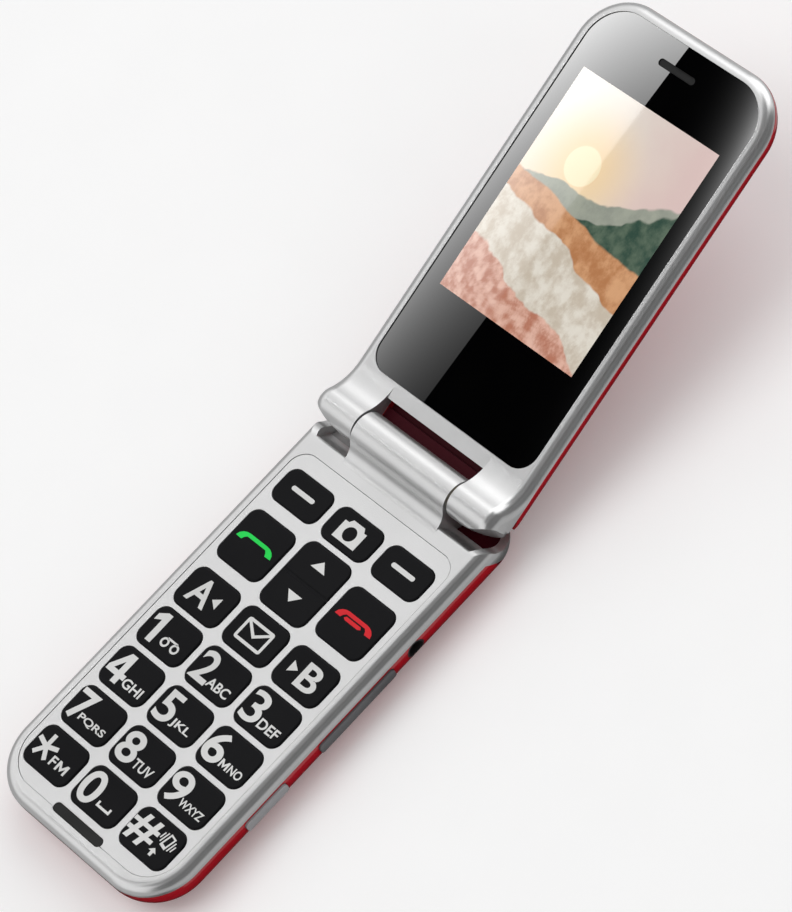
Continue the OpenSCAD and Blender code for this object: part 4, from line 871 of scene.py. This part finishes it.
add_lamp("lamp_key", (-0.15, 1.00, 0.80), (0, 0.02, 0), 1.50, 4.9)
add_lamp("lamp_top", (-0.30, -0.25, 1.15), (0, 0.0, 0), 1.00, 4.0).visible_glossy = False
add_lamp("lamp_fill", (1.0, 0.10, 0.45), (0, 0.02, 0), 0.60, 0.8).visible_glossy = False
print("lamps", len(bpy.data.lights))

# %% [markdown]
# ## Cards that only reflections see
# A card is one face that shines, and only mirrors show it: the camera and matt surfaces do not see
# it, and it casts no shadow. So the paint can get the soft bands of a studio while the lamps stay
# plain. Its UV map holds a place for each corner: 0 to 1 on a card that stands in the room, or
# millimetres on the window for a card that the window mirrors. The glow is a function of that map.


# %% Helpers: a card, an even glow and a glow in bands
def add_card(name, corners, finish, labels=None):
    bm = bmesh.new()
    uv = bm.loops.layers.uv.new("glass")
    face = bm.faces.new([bm.verts.new(corner) for corner in corners])
    for loop, label in zip(face.loops, labels or [(0, 0)] * len(corners)):
        loop[uv].uv = label
    mesh = make_mesh(name, bm)
    mesh.materials.append(finish)
    card = link_object(name, mesh)
    card.visible_camera = False
    card.visible_diffuse = False
    card.visible_shadow = False
    card.visible_transmission = False


def make_glow(name, strength=1.0):
    glow = bpy.data.materials.new(name)
    glow.use_nodes = True
    tree = glow.node_tree
    tree.nodes.remove(tree.nodes["Principled BSDF"])
    shine = tree.nodes.new("ShaderNodeEmission")
    shine.inputs["Strength"].default_value = strength
    feed(tree, tree.nodes["Material Output"].inputs["Surface"], shine.outputs["Emission"])
    return glow


def card_axes(tree):
    flat = tree.nodes.new("ShaderNodeUVMap")
    flat.uv_map = "glass"
    axes = tree.nodes.new("ShaderNodeSeparateXYZ")
    feed(tree, axes.inputs["Vector"], flat.outputs["UV"])
    return axes.outputs["X"], axes.outputs["Y"]


def make_band_glow(name, stops):
    glow = make_glow(name)
    tree = glow.node_tree
    across, up = card_axes(tree)
    ramp = tree.nodes.new("ShaderNodeValToRGB")
    elements = ramp.color_ramp.elements
    for position, level in stops[1:-1]:
        elements.new(position)
    for element, (position, level) in zip(elements, stops):
        element.position = position
        element.color = (level, level, level, 1)
    feed(tree, ramp.inputs["Fac"], up)
    feed(tree, tree.nodes["Emission"].inputs["Color"], ramp.outputs["Color"])
    return glow


# %% [markdown]
# Satin paint mirrors the room as soft bands, which give a rim its shape. Four cards are that
# room: the ground, a dark card for the shade in the gap under the phone, and a wall on each side
# with darker and lighter bands.

# %% Cards of the room
ROOM_LOW = -3 * MM
GROUND_HALF = 1.2
SQUARE = ((-1, -1), (1, -1), (1, 1), (-1, 1))
GROUND_LEVEL = 0.45
GAP_LEVEL = 0.01
GAP_OUTLINE = [(-0.030, -0.055), (0.0303, -0.055), (0.0303, 0.046), (0.0325, 0.050),
               (0.0512, 0.140), (0.0512, 0.155), (-0.050, 0.155), (-0.050, 0.060)]
RIGHT_WALL = [(0.45, -1.0, ROOM_LOW), (0.45, 1.2, ROOM_LOW), (0.45, 1.2, 0.90), (0.45, -1.0, 0.90)]
RIGHT_BANDS = [(0.0, 0.04), (0.16, 0.04), (0.26, 0.12), (0.36, 0.12), (0.46, 0.02), (0.92, 0.02),
               (1.0, 0.3)]
LEFT_WALL = [(-0.5, 1.0, ROOM_LOW), (-0.5, -1.0, ROOM_LOW), (-0.5, -1.0, 0.45), (-0.5, 1.0, 0.45)]
LEFT_BANDS = [(0.0, 0.32), (0.30, 0.32), (0.62, 1.05), (1.0, 1.05)]
WALL_LABELS = [(0, 0), (1, 0), (1, 1), (0, 1)]

add_card("card_ground", [(GROUND_HALF * x, GROUND_HALF * y, ROOM_LOW) for x, y in SQUARE],
         make_glow("card_ground", GROUND_LEVEL))
# Painted shade: a near-black card where the floor under the phone lies in shadow.
add_card("card_under", [(x, y, ROOM_LOW + MM) for x, y in GAP_OUTLINE],
         make_glow("card_under", GAP_LEVEL))
add_card("card_right", RIGHT_WALL, make_band_glow("card_right", RIGHT_BANDS), WALL_LABELS)
add_card("card_left", LEFT_WALL, make_band_glow("card_left", LEFT_BANDS), WALL_LABELS)
print("room from", LEFT_WALL[0][0], "to", RIGHT_WALL[0][0], "m across")

# %% [markdown]
# ## What the window reflects
# Smooth black glass shows only what stands opposite. Two cards give the sheen of the window: a
# bright one that fades along the glass, with a hard edge, and a black one beside it. Mirroring
# the camera in the glass tells where they must stand.

# %% Where the window looks
CAMERA_SPOT = Vector((0.50955395, -0.09875410, 0.72955320))
CAMERA_TURN = (31.68612596, 19.39697034, 46.06211417)
GLASS_MIDDLE = 52
CARD_REACH = 0.8
glass_point = lid_space @ Vector((0, GLASS_MIDDLE, GLASS_TOP))
glass_normal = (lid_space.to_3x3() @ Vector((0, 0, 1))).normalized()
mirrored = CAMERA_SPOT - 2 * (CAMERA_SPOT - glass_point).dot(glass_normal) * glass_normal
card_axis = (glass_point - mirrored).normalized()
card_centre = glass_point + card_axis * CARD_REACH


def card_point(x, y):
    through = lid_space @ Vector((x, y, GLASS_TOP)) - mirrored
    reach = (card_centre - mirrored).dot(card_axis) / through.dot(card_axis)
    return mirrored + through * reach


print("cards stand at", [round(v, 3) for v in card_centre])


# %% [markdown]
# The sheen is set at four places on the glass: on its left and its right, low and high. Such
# light fades by a like share with each millimetre, so the levels are logarithms, which run
# straight between those places, and one node turns them back into brightness. GLASS_SHINE makes
# up for what glass swallows.


# %% Helper: a glow that fades along the glass
SHEEN_X = (-22.0, -4.0)
SHEEN_Y = (32.66, 86.66)
GLASS_SHINE = math.log(1 / 0.095)


def make_sheen_glow(name, low_pair, high_pair):
    glow = make_glow(name)
    tree = glow.node_tree
    across, along = card_axes(tree)
    low, high = (
        add_range(tree, across, *SHEEN_X, left + GLASS_SHINE, right + GLASS_SHINE, clamp=False)
        for left, right in (low_pair, high_pair)
    )
    level = add_math(tree, "EXPONENT", add_range(tree, along, *SHEEN_Y, low, high, clamp=False))
    feed(tree, tree.nodes["Emission"].inputs["Strength"], level)
    return glow


# %% [markdown]
# The edge between both cards is a slightly bent line down the glass. Each card takes one side of
# it.

# %% The two cards of the window
EDGE_LINE = [(-6.9, 0.0), (-5.1, 30.66), (-0.9, 92.0), (-0.3, 99.0)]
left_of_edge = [*EDGE_LINE, (-26, 99), (-26, 0)]
right_of_edge = [*EDGE_LINE[::-1], (26, 0), (26, 99)]
for name, glow_name, outline, low_pair, high_pair in (
    ("card_bright", "card_glow", left_of_edge, (-1.32, -3.03), (-0.29, -1.08)),
    ("card_black", "card_dark", right_of_edge, (-23.9, -16.4), (-19.6, -12.05)),
):
    glow = make_sheen_glow(glow_name, low_pair, high_pair)
    add_card(name, [card_point(x, y) for x, y in outline], glow, outline)
print("window cards have", len(left_of_edge), "and", len(right_of_edge), "corners")

# %% [markdown]
# Two even, dark cards hang beyond the black one and overhead. The window does not show them, but
# the slopes of the silver rims that face right do, and look darker for it, as they should beside
# a bright front.

# %% Cards beyond the window's and overhead
BEYOND_OUTLINE = [(26, -40), (120, -40), (120, 150), (26, 150)]
BEYOND_LEVEL = 0.03
OVERHEAD_OUTLINE = [(-0.16, -0.7), (0.44, -0.7), (0.44, 0.9), (-0.16, 0.9)]
OVERHEAD_Z = 0.95
OVERHEAD_LEVEL = 0.12
add_card("card_beyond", [card_point(x, y) for x, y in BEYOND_OUTLINE],
         make_glow("card_beyond", BEYOND_LEVEL))
add_card("card_above", [(x, y, OVERHEAD_Z) for x, y in OVERHEAD_OUTLINE],
         make_glow("card_above", OVERHEAD_LEVEL))

# %% [markdown]
# ## Camera
# A long lens from above and from the right, so the phone is seen almost without perspective. Its
# place and turn are typed as numbers, because the window's cards were set from them.

# %% Camera
LENS = 188.36746
SENSOR_WIDTH = 36.0
camera_data = bpy.data.cameras.new("camera")
camera_data.lens = LENS
camera_data.sensor_width = SENSOR_WIDTH
camera = link_object("camera", camera_data)
camera.location = CAMERA_SPOT
camera.rotation_euler = [math.radians(v) for v in CAMERA_TURN]
scene.camera = camera
print("camera stands", round((CAMERA_SPOT - glass_point).length, 3), "m from the window")
